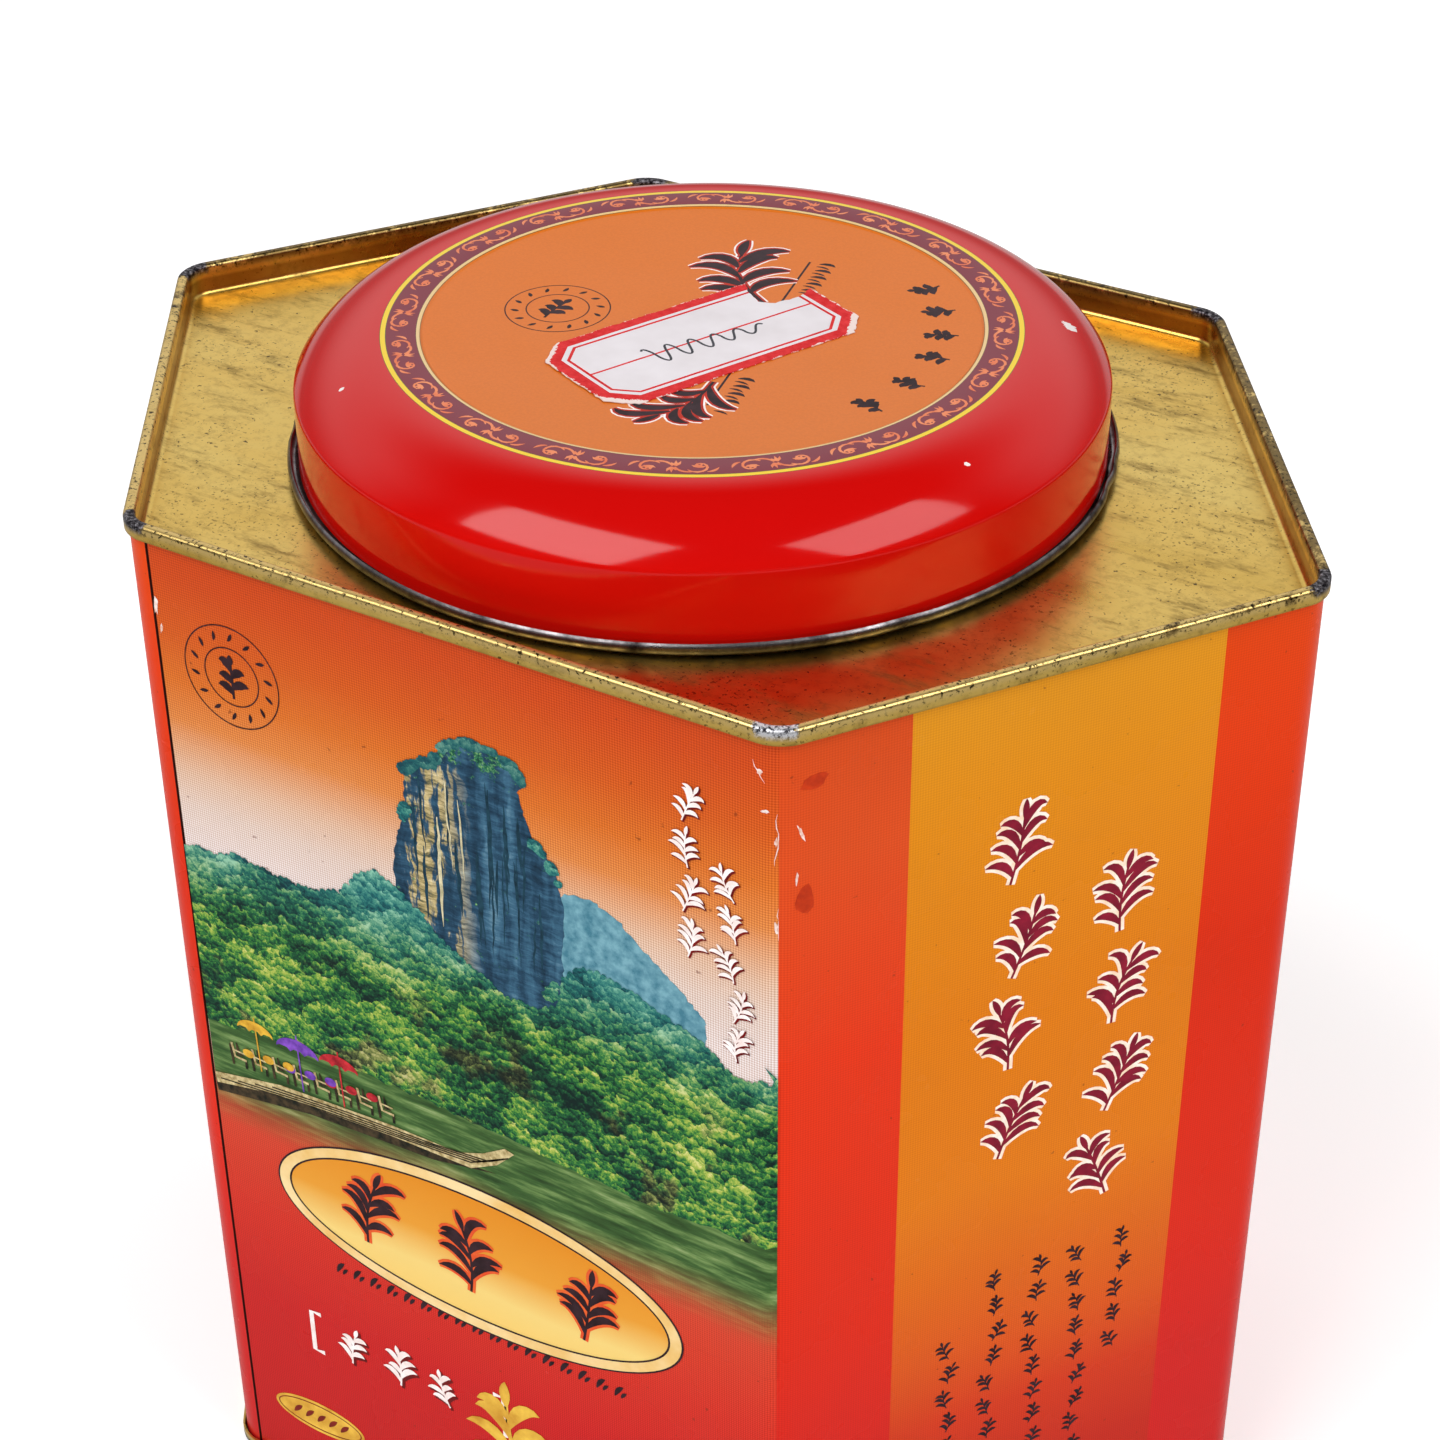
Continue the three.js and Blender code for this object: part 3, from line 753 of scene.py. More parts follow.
neck = {
    "radius": 50.6, "roll": 0.75, "bead": 0.45, "beadLow": 0.3, "beadRise": 1.1,
    "flange": 3.0, "clearUnderPlate": 0.75,
    "holeGap": 0.3,         # between the neck and the top plate's hole
}


def neckCollar(material):
    # flange under the plate, stiffening bead, and an edge rolled inwards
    plate = rimZ - seam["recess"]
    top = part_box("neck_collar")[1].z / mm
    r = neck["radius"]
    middle = neck["beadLow"] + neck["beadRise"] / 2
    low = plate - neck["clearUnderPlate"]
    line = [(r + neck["flange"], low)]
    line += [(r + 0.5 + x, z) for x, z in arc(0, low + 0.5, 0.5, 270, 180, 5)]
    line += [(r, plate + neck["beadLow"])]
    for i in range(-3, 4):
        out = neck["bead"] * math.cos(math.pi / 2 * i / 4)
        line.append((r + out, plate + middle + neck["beadRise"] / 2 * i / 4))
    line += [(r, plate + neck["beadLow"] + neck["beadRise"])]
    centre = top - tin["sheet"] / 2 - neck["roll"]
    line += arc(r - neck["roll"], centre, neck["roll"], 0, 265, 16)
    piece = finishPiece("neck_collar_rolled", spun(line, 160), [material, material], "tin_body",
                        "neck_collar", 50)
    sheetMetal(piece, 0)


plug = {
    "wall": 48.5, "rim": 50.35, "depth": 5.0, "fillet": 1.0, "bend": 0.5,
    "dish": 22.0, "dishSlope": 2.4, "dishDepth": 1.2,
}


def innerLid(material):
    # plug lid: shallow dish, raised ring, wall and a rim turned outwards
    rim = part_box("inner_lid")[1].z / mm - tin["sheet"] / 2
    floor = rim - plug["depth"]
    dish, slope = plug["dish"], plug["dishSlope"]
    line = [(0, floor - plug["dishDepth"])]
    for i in range(9):
        sunk = plug["dishDepth"] * (0.5 + 0.5 * math.cos(math.pi * i / 8))
        line.append((dish - slope + slope * i / 8, floor - sunk))
    line += [(dish + 6, floor), (dish + 7.2, floor + 0.35), (dish + 8.4, floor)]
    line += arc(plug["wall"] - plug["fillet"], floor + plug["fillet"], plug["fillet"], 270, 360, 6)
    line += arc(plug["wall"] + plug["bend"], rim - plug["bend"], plug["bend"], 180, 90, 5)
    line += [(plug["rim"], rim)]
    piece = finishPiece("inner_lid_pressed", spun(line, 160), [material, material], "plug_lid",
                        "inner_lid", 50)
    sheetMetal(piece, 0)


lid = {
    "skirt": 51.65, "flat": 40.25, "shoulder": 13.8, "fillet": 1.2, "curl": 0.75, "discDrop": 0.3,
    "discEdge": 0.7, "clear": 0.05, "steps": 224,
    "chips": [              # where enamel is missing, and how big
        ((39.5, 24.6), 1.0), ((44.6, -13.9), 0.35), ((-30, -35.5), 0.3), ((-15.7, 13.8), 0.3),
        ((21, 5), 0.25)],
    "dents": [(14, 5, 0.35), (21, 4, 0.25), (-33, 7, 0.2), (128, 6, 0.3), (-150, 5, 0.2)],  # degrees, mm
}


def slipLid(materials):
    # pressed disc, flat ring, broad shoulder, skirt and rolled edge
    top = lidHigh - tin["sheet"] / 2 - lid["clear"]
    reach = lid["skirt"] - lid["flat"] - lid["fillet"]
    turn = math.degrees(math.acos(reach / (lid["shoulder"] - lid["fillet"])))
    discRadius = lidPrint["discRadius"]
    line = [(0, top - lid["discDrop"]), (discRadius - lid["discEdge"] / 2, top - lid["discDrop"])]
    for i in range(1, 7):
        drop = lid["discDrop"] * (0.5 + 0.5 * math.cos(math.pi * i / 6))
        line.append((discRadius + lid["discEdge"] * (i / 6 - 0.5), top - drop))
    line += arc(lid["flat"], top - lid["shoulder"], lid["shoulder"], 90, turn, 22)
    bend = top - lid["shoulder"] + (lid["shoulder"] - lid["fillet"]) * math.sin(math.radians(turn))
    line += arc(lid["skirt"] - lid["fillet"], bend, lid["fillet"], turn, 0, 6)[1:]
    curlZ = lidLow + lid["curl"] + tin["sheet"] / 2
    line += [(lid["skirt"], bend + (curlZ - bend) * i / 6) for i in range(1, 6)]
    line += arc(lid["skirt"] + lid["curl"], curlZ, lid["curl"] - 0.01, 180, 420, 16)
    bm = spun(line, lid["steps"])
    dentCurl(bm, curlZ)
    for face in bm.faces:
        middle = face.calc_center_median()
        if middle.z < curlZ + lid["curl"] + 0.2 and middle.xy.length > lid["skirt"] + 0.02:
            face.material_index = 2
    piece = finishPiece("lid_shell_enamelled", bm, materials, "slip_lid", "lid_shell", 60)
    sheetMetal(piece, 0)


def dentCurl(bm, curlZ):
    # knocks along the rolled edge
    for angle, width, depth in lid["dents"]:
        for vert in bm.verts:
            if vert.co.z > curlZ + 0.9 or vert.co.xy.length < lid["skirt"] + 0.3:
                continue
            away = math.degrees(math.atan2(vert.co.y, vert.co.x)) - angle
            push = depth * math.exp(-((away / width) ** 2) * 4)
            vert.co.xy *= 1 - push / vert.co.xy.length


label = {
    "turn": 66.5, "centre": (2.4, -3.75), "length": 38.9, "width": 19.65, "thickness": 0.1,
    "frame": (16.9, 7.3), "frameCut": 2.5,
    "border": (17.6, 8.05), "borderCut": 2.7,
    "cornerWear": 3.1, "seed": 7,
}


def paperLabel(material):
    # outline in the label's own axes: worn corners, and a ragged bite out of the far end
    x, y = label["length"] / 2 - 0.05, label["width"] / 2 - 0.07
    wear = label["cornerWear"]
    corners = [
        (-x, -y + wear), (-x + wear, -y), (0, -y + 0.1), (x - wear, -y), (x, -y + wear), (x - 0.1, -1),
        (x, 3.6), (18.2, 3.0), (16.9, 2.4), (13.2, 2.8), (11.8, 4.3), (12.3, 7.2), (13.6, y),
        (0, y - 0.1), (-x + wear + 0.7, y), (-x, y - wear - 0.5)]
    rng = random.Random(label["seed"])
    outline = raggedLine(corners + corners[:1], 0.5, 0.12, rng)[:-1]
    bm = bmesh.new()
    bm.faces.new([bm.verts.new((u, v, 0)) for u, v in outline]).normal_update()
    bmesh.ops.triangulate(bm, faces=bm.faces[:])
    long = [e for e in bm.edges if e.calc_length() > 2.5]
    bmesh.ops.subdivide_edges(bm, edges=long, cuts=3, use_grid_fill=True)
    bmesh.ops.triangulate(bm, faces=bm.faces[:])
    turn = Matrix.Rotation(math.radians(label["turn"]), 4, "Z")
    for vert in bm.verts:
        lift = max(0.0, abs(vert.co.x) / x - 0.86) * 0.6 + 0.015 * math.sin(vert.co.x * 1.1 + vert.co.y)
        vert.co.z = 0.03 + max(0.0, lift)
    bmesh.ops.transform(bm, matrix=turn, verts=bm.verts[:])
    deck = lidHigh - lid["clear"] - lid["discDrop"]
    bmesh.ops.translate(bm, vec=(*label["centre"], deck), verts=bm.verts[:])
    bmesh.ops.recalc_face_normals(bm, faces=bm.faces[:])
    if bm.faces[:][0].normal.z < 0:
        bmesh.ops.reverse_faces(bm, faces=bm.faces[:])
    piece = finishPiece("price_label_paper", bm, [material], "slip_lid", "price_label", 50)
    thick = piece.modifiers.new("paper", "SOLIDIFY")
    thick.thickness = label["thickness"] * mm
    thick.offset = 1


# flat ink shapes, drawn in panel millimetres with the ink facing +Z

def raggedLine(points, step, bump, rng):
    # breaks a line into short steps and pushes them off it, for tree lines and torn paper
    line = []
    for (x0, y0), (x1, y1) in zip(points, points[1:]):
        count = max(1, round(math.hypot(x1 - x0, y1 - y0) / step))
        for i in range(count):
            t = i / count
            x = x0 + (x1 - x0) * t + rng.uniform(-bump, bump)
            y = y0 + (y1 - y0) * t + rng.uniform(-bump, bump)
            line.append((x, y))
    line.append(points[-1])
    return line


def inkArea(bm, outline, lift):
    # fills a closed outline
    face = bm.faces.new([bm.verts.new((x, y, lift)) for x, y in outline])
    face.normal_update()
    if face.normal.z < 0:
        face.normal_flip()
    bmesh.ops.triangulate(bm, faces=[face])


def inkOval(bm, centre, halfX, halfY, lift, steps=48):
    # a filled oval
    made = bmesh.ops.create_circle(bm, cap_ends=True, segments=steps, radius=1.0)
    bmesh.ops.scale(bm, vec=(halfX, halfY, 1), verts=made["verts"])
    bmesh.ops.translate(bm, vec=(*centre, lift), verts=made["verts"])


def inkRing(bm, centre, halfX, halfY, width, lift, steps=72):
    # an oval line, measured to its outer edge
    loops = []
    for grow in (0, -width):
        made = bmesh.ops.create_circle(bm, cap_ends=False, segments=steps, radius=1.0)
        bmesh.ops.scale(bm, vec=(halfX + grow, halfY + grow, 1), verts=made["verts"])
        bmesh.ops.translate(bm, vec=(*centre, lift), verts=made["verts"])
        loops += list({e for v in made["verts"] for e in v.link_edges})
    made = bmesh.ops.bridge_loops(bm, edges=loops)
    for face in made["faces"]:
        face.normal_update()
        if face.normal.z < 0:
            face.normal_flip()


def bent(a, b, c, steps=8):
    # points along a curve from a to c that leans towards b
    line = []
    for i in range(steps + 1):
        t = i / steps
        line.append(tuple((1 - t) ** 2 * p + 2 * t * (1 - t) * q + t * t * r for p, q, r in zip(a, b, c)))
    return line


def brushWidth(t):
    # a brush mark: set down round, swelling, then lifted to a point
    return min(1.0, 0.35 + 3.2 * t) * (1 - t ** 2.2) + 0.06


def leafWidth(t):
    # pointed at both ends
    return math.sin(math.pi * min(1, 0.04 + 0.96 * t)) ** 0.8 + 0.03


def evenWidth(t):
    return 1.0


def inkStroke(bm, line, width, lift, profile=evenWidth, grow=0.0):
    # a strip from a grid, laid along the line and as wide as the profile says
    count = len(line) - 1
    made = bmesh.ops.create_grid(bm, x_segments=count, y_segments=1, size=1.0)
    for vert in made["verts"]:
        i = round((vert.co.x + 1) / 2 * count)
        side = vert.co.y
        before, after = Vector(line[max(i - 1, 0)]), Vector(line[min(i + 1, count)])
        along = (after - before).normalized()
        half = (width * profile(i / count) + grow) / 2
        x, y = line[i]
        vert.co = (x - along.y * half * side, y + along.x * half * side, lift)


def finishInk(name, bm, places, material, body="tin_body"):
    # repeats one flat drawing at each place and gives the ink its thickness
    art = bpy.data.meshes.new(name + "_art")
    bm.to_mesh(art)
    bm.free()
    joined = bmesh.new()
    for matrix in places:
        start = len(joined.verts)
        joined.from_mesh(art)
        joined.verts.ensure_lookup_table()
        bmesh.ops.transform(joined, matrix=matrix, verts=joined.verts[start:])
    bpy.data.meshes.remove(art)
    bmesh.ops.solidify(joined, geom=joined.faces[:], thickness=inkThickness)
    finishPiece(name, joined, [material], body, None, 30)


inkThickness = 0.012      # drawn thicker than real ink, so that the layers stay apart


def sidePanels():
    # matrices from panel millimetres (along, up, out) to the tin, for the wide and the narrow sides
    a, b, c = tin["halfSide"], tin["halfDepth"], tin["halfWidth"]
    corners = [Vector(p) for p in ((-a, -b), (a, -b), (c, 0), (a, b), (-a, b), (-c, 0))]
    wide, narrow = [], []
    for i, start in enumerate(corners):
        end = corners[(i + 1) % 6]
        along = (end - start).normalized()
        out = Vector((along.y, -along.x))
        origin = start - out * tin["wallInset"]
        matrix = Matrix(((along.x, 0, out.x, origin.x), (along.y, 0, out.y, origin.y),
                         (0, 1, 0, 0), (0, 0, 0, 1)))
        if i in (2, 5):
            # these start at a side corner, so their amber band begins nearer the start
            length = (end - start).length
            matrix = matrix @ Matrix.Translation((length - bands["amberFrom"] - bands["amberTo"], 0, 0))
        (wide if i % 3 == 0 else narrow).append(matrix)
    return wide, narrow


def foldOverCorner(bm):
    # carries a wide side's drawing round the tin's upright corner, as far as the print goes
    turn = math.atan2(tin["halfDepth"], tin["halfWidth"] - tin["halfSide"])
    radius = tin["cornerRadius"] - tin["wallInset"]
    flatEnd = 2 * tin["halfSide"] - tin["cornerRadius"] * math.tan(turn / 2)
    steps = 4
    for i in range(steps):
        cutAcross(bm, flatEnd + radius * turn / 2 * i / steps)
    for vert in bm.verts:
        past = vert.co.x - flatEnd
        if past > 0:
            angle = min(past / radius, turn / 2)
            reach = radius + vert.co.z
            vert.co.x = flatEnd + reach * math.sin(angle)
            vert.co.z = reach * math.cos(angle) - radius


def sprigLines(foot, size, turn, rng, leaves=5, weight=1.0):
    # a bowed stem with leaves to either side and a bud at its tip, as (line, width, profile)
    foot = Vector(foot)
    up = Vector((math.sin(math.radians(turn)), math.cos(math.radians(turn))))
    side = Vector((up.y, -up.x))
    bow = rng.uniform(-0.12, 0.12) * size

    def at(t, off=0.0):
        return tuple(foot + up * size * t + side * (bow * math.sin(math.pi * t) + off))

    strokes = [([at(i / 7) for i in range(8)], 0.05 * size * weight, evenWidth)]
    for i in range(leaves):
        t = 0.1 + 0.72 * i / leaves
        hand = 1 if i % 2 else -1
        reach = size * rng.uniform(0.34, 0.48) * (1 - 0.3 * t) * hand
        droop = rng.uniform(0.12, 0.3)
        strokes.append((bent(at(t), at(t + droop + 0.1, reach * 0.4), at(t + droop, reach), 7),
                        0.17 * size * weight, leafWidth))
    strokes.append((bent(at(0.85), at(1.0, bow * 0.3), at(1.12), 6), 0.13 * size * weight, leafWidth))
    return strokes


def drawStrokes(bm, strokes, lift, grow=0.0):
    # each stroke lies a hair above the last, so that crossings stay clean
    for i, (line, width, profile) in enumerate(strokes):
        inkStroke(bm, line, width, lift + 0.0009 * i, profile, grow)


def sealLines(bm, centre, radius, inner, width, lift, rng):
    # a plain round seal: two rings, ticks between them and a sprig inside
    inkRing(bm, centre, radius, radius, width, lift)
    inkRing(bm, centre, inner, inner, width, lift)
    for i in range(14):
        angle = 2 * math.pi * i / 14
        a, b = inner + (radius - inner) * 0.32, inner + (radius - inner) * 0.72
        root = (centre[0] + a * math.sin(angle), centre[1] + a * math.cos(angle))
        tip = (centre[0] + b * math.sin(angle + 0.1), centre[1] + b * math.cos(angle + 0.1))
        middle = ((root[0] + tip[0]) / 2 + 0.15, (root[1] + tip[1]) / 2)
        inkStroke(bm, bent(root, middle, tip, 4), width * 3.2, lift, leafWidth)
    drawStrokes(bm, sprigLines((centre[0], centre[1] - inner * 0.75), inner * 1.35, 0, rng, 5, 1.25), lift)


# the landscape on the wide sides, along and up the panel in mm

landscape = {
    "left": 3.5, "right": 91.9, "seed": 11, "treeStep": 0.55, "treeBump": 0.3, "farBank": 83.0,
    "nearShore": 60.0, "ridgeTrees": 90,
    # how far each layer stands off the wall
    "riverLift": 0.02, "hazeLift": 0.035, "towerLift": 0.05, "crackLift": 0.063, "stoneLift": 0.074,
    "hillLift": 0.095, "crownLift": 0.098,
    "ridge": [
        (3.5, 111.3), (8, 111.0), (12, 112.3), (18, 111.5), (24, 111.2), (28, 112.6), (31, 116.0),
        (34, 118.2), (38, 116.4), (42, 112.6), (47, 109.2), (52, 106.6), (57, 105.6), (60.5, 107.5),
        (62, 112.6), (64, 114.6), (67, 115.6), (70, 114.8), (74, 113.2), (79, 111.4), (82.5, 109.8),
        (85, 107.6), (88, 107.0), (92, 109.2)],
    "haze": [
        (58, 118), (62.5, 125.6), (66, 126.2), (70, 124.6), (74, 121), (78, 118), (82, 114), (82, 108),
        (60, 108)],
    "tower": [
        (42, 103), (38.6, 113), (37.4, 116), (37.2, 121), (38.2, 125.5), (39.6, 129.5), (39.9, 134.8),
        (41.8, 137.2), (44.6, 138.8), (45.8, 141.6), (48.5, 142.8), (52.5, 143.1), (55.4, 142.3),
        (57.3, 141.2), (57.6, 139.4), (56.4, 138.2), (57.2, 135), (58.6, 131), (60.9, 129.4),
        (62, 125.5), (62.4, 121.5), (61.8, 116), (62.4, 103)],
    "tops": [
        [(44.4, 138.6), (46.2, 141.5), (49, 142.9), (53, 143.1), (56, 141.8), (57.4, 139.6)],
        [(40, 136), (42, 137.6), (44.4, 138.4)], [(58.4, 131.8), (60.4, 130), (61.8, 127)],
        [(38.2, 113), (40.5, 114.5)], [(59.5, 109), (61.5, 113.5)], [(39.2, 128.5), (39.8, 130.5)]],
    "cracks": 26,
}

raft = {
    "canes": 4, "chairs": 8, "firstChair": 8.2, "chairPitch": 3.5,
    "deck": [
        (3.6, 73.4), (3.8, 71.6), (14, 73.8), (33, 75.0), (46, 75.2), (50.2, 77.6), (53, 80.6), (51.6, 81),
        (48, 78.6), (44, 77.0), (33, 76.9), (15, 75.8)],
    "shadow": [
        (3.6, 71.7), (3.8, 70.2), (20, 72.8), (40, 73.9), (50, 76), (46, 75.6), (33, 75.2), (14, 74.0)],
    "parasols": [
        ("yellow", "#e8b93c", "#b8801f", (11.6, 83.4), 3.0),
        ("purple", "#8a52c8", "#4d2a86", (18.6, 82.9), 3.5),
        ("red", "#d8323a", "#8c1420", (25.4, 83.2), 3.2)],
}


def crown(bm, centre, halfX, halfY, lift, rng):
    # one clump of trees, as a ragged blob
    outline = []
    for i in range(22):
        angle = 2 * math.pi * i / 22
        reach = 1 + rng.uniform(-0.16, 0.16)
        x = centre[0] + halfX * reach * math.cos(angle)
        outline.append((x, centre[1] + halfY * reach * math.sin(angle)))
    inkArea(bm, outline, lift)


def wideLandscape(wide):
    # river, far ridge, rock tower, wooded hills and the raft, each lifted a little above the last
    rng = random.Random(landscape["seed"])
    left, right, bank = landscape["left"], landscape["right"], landscape["farBank"]
    step, bump = landscape["treeStep"], landscape["treeBump"]

    bm = bmesh.new()
    shore = landscape["nearShore"]
    river = [(left, bank + 2), (left, shore), (right, shore), (right, bank + 2)]
    inkArea(bm, river, landscape["riverLift"])
    foldOverCorner(bm)
    finishInk("river_print", bm, wide, waterInk())

    bm = bmesh.new()
    haze = raggedLine(landscape["haze"] + landscape["haze"][:1], step, bump * 0.7, rng)[:-1]
    inkArea(bm, haze, landscape["hazeLift"])
    finishInk("far_ridge_print", bm, wide, flatInk("distantBlueInk", "#76a8b6", "#41788b", 1.6))

    bm = bmesh.new()
    inkArea(bm, raggedLine(landscape["tower"], step, bump * 0.55, rng), landscape["towerLift"])
    finishInk("rock_tower_print", bm, wide, rockInk())

    bm, pale = bmesh.new(), bmesh.new()
    for i in range(landscape["cracks"]):
        x = rng.uniform(40.5, 60.5)
        top = rng.uniform(124, 139) - max(0.0, x - 55) * 1.6
        foot = (x + rng.uniform(-0.6, 0.6), max(112, top - rng.uniform(6, 17)))
        line = raggedLine([(x, top), foot], 1.4, 0.14, rng)
        isPale = i % 3 == 0 and x < 50
        lift = landscape["stoneLift" if isPale else "crackLift"] + i * 0.0003
        inkStroke(pale if isPale else bm, line, rng.uniform(0.2, 0.6), lift, leafWidth)
    finishInk("rock_crack_print", bm, wide, flatInk("rockShadowInk", "#1f4455", "#122c39", 1.5))
    finishInk("rock_face_print", pale, wide, flatInk("paleStoneInk", "#e6dab2", "#a9a27e", 1.2))

    bm = bmesh.new()
    top = raggedLine(landscape["ridge"], step, bump, rng)
    bottom = raggedLine(
        [(right, bank - 0.6), (70, bank - 1.6), (50, bank + 0.2), (27, bank + 1.2), (left, bank - 0.5)],
        1.1, 0.35, rng)
    inkArea(bm, top + bottom, landscape["hillLift"])
    ridge = landscape["ridge"]
    for i in range(landscape["ridgeTrees"]):
        x = left + 1.2 + (right - left - 2.4) * i / landscape["ridgeTrees"]
        (x0, y0), (x1, y1) = [pair for pair in zip(ridge, ridge[1:]) if pair[0][0] <= x <= pair[1][0]][0]
        y = y0 + (y1 - y0) * (x - x0) / (x1 - x0)
        size = rng.uniform(0.45, 1.15)
        crown(bm, (x, y - size * 0.3), size * 0.8, size, landscape["crownLift"] + 0.0001 * i, rng)
    blobs = 0
    for path in landscape["tops"]:
        for (x0, y0), (x1, y1) in zip(path, path[1:]):
            for i in range(5):
                t = rng.random()
                size = rng.uniform(0.5, 0.95)
                blobs += 1
                spot = (x0 + (x1 - x0) * t, y0 + (y1 - y0) * t - 0.3)
                crown(bm, spot, size * 1.2, size, landscape["crownLift"] + 0.0004 * blobs, rng)
    foldOverCorner(bm)
    finishInk("wooded_hills_print", bm, wide, foliageInk())

    # a bamboo raft with empty chairs, under parasols on poles
    bm, cane = bmesh.new(), bmesh.new()
    inkArea(cane, raft["deck"], 0.125)
    inkArea(bm, raft["shadow"], 0.115)
    for i in range(raft["canes"]):
        gap = [
            (4.5 + 3 * i, 72.6 + 0.75 * i), (20 + 2 * i, 74.3 + 0.55 * i),
            (34 + 2 * i, 75.3 + 0.45 * i), (46 + i, 76.2 + 0.5 * i), (50 + 0.7 * i, 78.4 + 0.4 * i)]
        inkStroke(bm, gap, 0.22, 0.145)
    for i in range(raft["chairs"]):
        x = raft["firstChair"] + raft["chairPitch"] * i
        foot = 75.6 + 0.05 * x
        inkStroke(cane, [(x - 1.0, foot + 4.0), (x - 0.6, foot + 1.7), (x + 1.3, foot + 1.6)], 0.4, 0.152)
        inkStroke(bm, [(x - 1.3, foot + 3.6), (x - 1.0, foot + 0.2)], 0.4, 0.147)
        inkStroke(bm, [(x + 1.2, foot + 1.6), (x + 1.2, foot + 0.2)], 0.4, 0.147)
        cushion = [(x - 0.2, foot + 4.2), (x + 0.1, foot + 2.3), (x + 1.0, foot + 2.2)]
        inkStroke(bm, cushion, 0.75, 0.149, leafWidth)
        inkStroke(cane, [(x - 0.7, foot + 2.8), (x + 1.2, foot + 2.7)], 0.25, 0.156)
    finishInk("raft_shadow_print", bm, wide, flatInk("raftShadowInk", "#4a3c28", "#171a12", 1.2))
    finishInk("raft_cane_print", cane, wide, flatInk("caneInk", "#dccb97", "#8f7a49", 0.9))
    for name, color, dark, (x, y), half in raft["parasols"]:
        bm = bmesh.new()
        dome = [(x + px, y + 0.62 * py) for px, py in arc(0, 0, half, 0, 180, 14)]
        hem = [(x + half * (i / 6 - 1), y + (0.35 if i % 4 else -0.15)) for i in range(1, 12)]
        inkArea(bm, dome + hem, 0.165)
        inkStroke(bm, [(x, y + half * 0.85), (x + 0.4, y - 6.5)], 0.22, 0.161)
        for i in range(3):
            seat = (x - 1.6 + 3.4 * i, 78.6 + 0.05 * x + 0.3 * i)
            inkOval(bm, seat, 0.95, 0.7, 0.168 + 0.0008 * i, 14)
        finishInk(name + "_parasol_print", bm, wide, flatInk(name + "ParasolInk", color, dark, 1.8))


# the cartouche and small marks on the wide sides

cartouche = {
    "centre": (45.4, 59.0), "half": (32.3, 12.7), "border": 1.7, "line": 0.3, "lift": 0.06,
    "marks": [(27.6, 53.4, 12.5, 12), (44.6, 52.6, 12.5, -6), (62.6, 52.8, 12.0, 8)], "seed": 4,
}

sideMarks = {
    "seal": (14.5, 140.4), "sealRadius": 7.3, "sealInner": 4.2,
    "caption": 21.5, "captionPitch": 2.85, "captionLeaves": 17,
    "brackets": [(17.6, 1), (47.0, -1)],     # along, and which way they open
    # along, top, how many, pitch and size
    "columns": [(79.4, 146.0, 4, 6.4, 5.2), (85.8, 136.6, 5, 5.8, 4.8)],
    "oval": (15.3, 12.9), "ovalHalf": (8.0, 3.0),
}


def shifted(strokes, off):
    # the same strokes a little to the right and lower, for a printed shadow
    return [([(x + off, y - off) for x, y in line], width, profile) for line, width, profile in strokes]


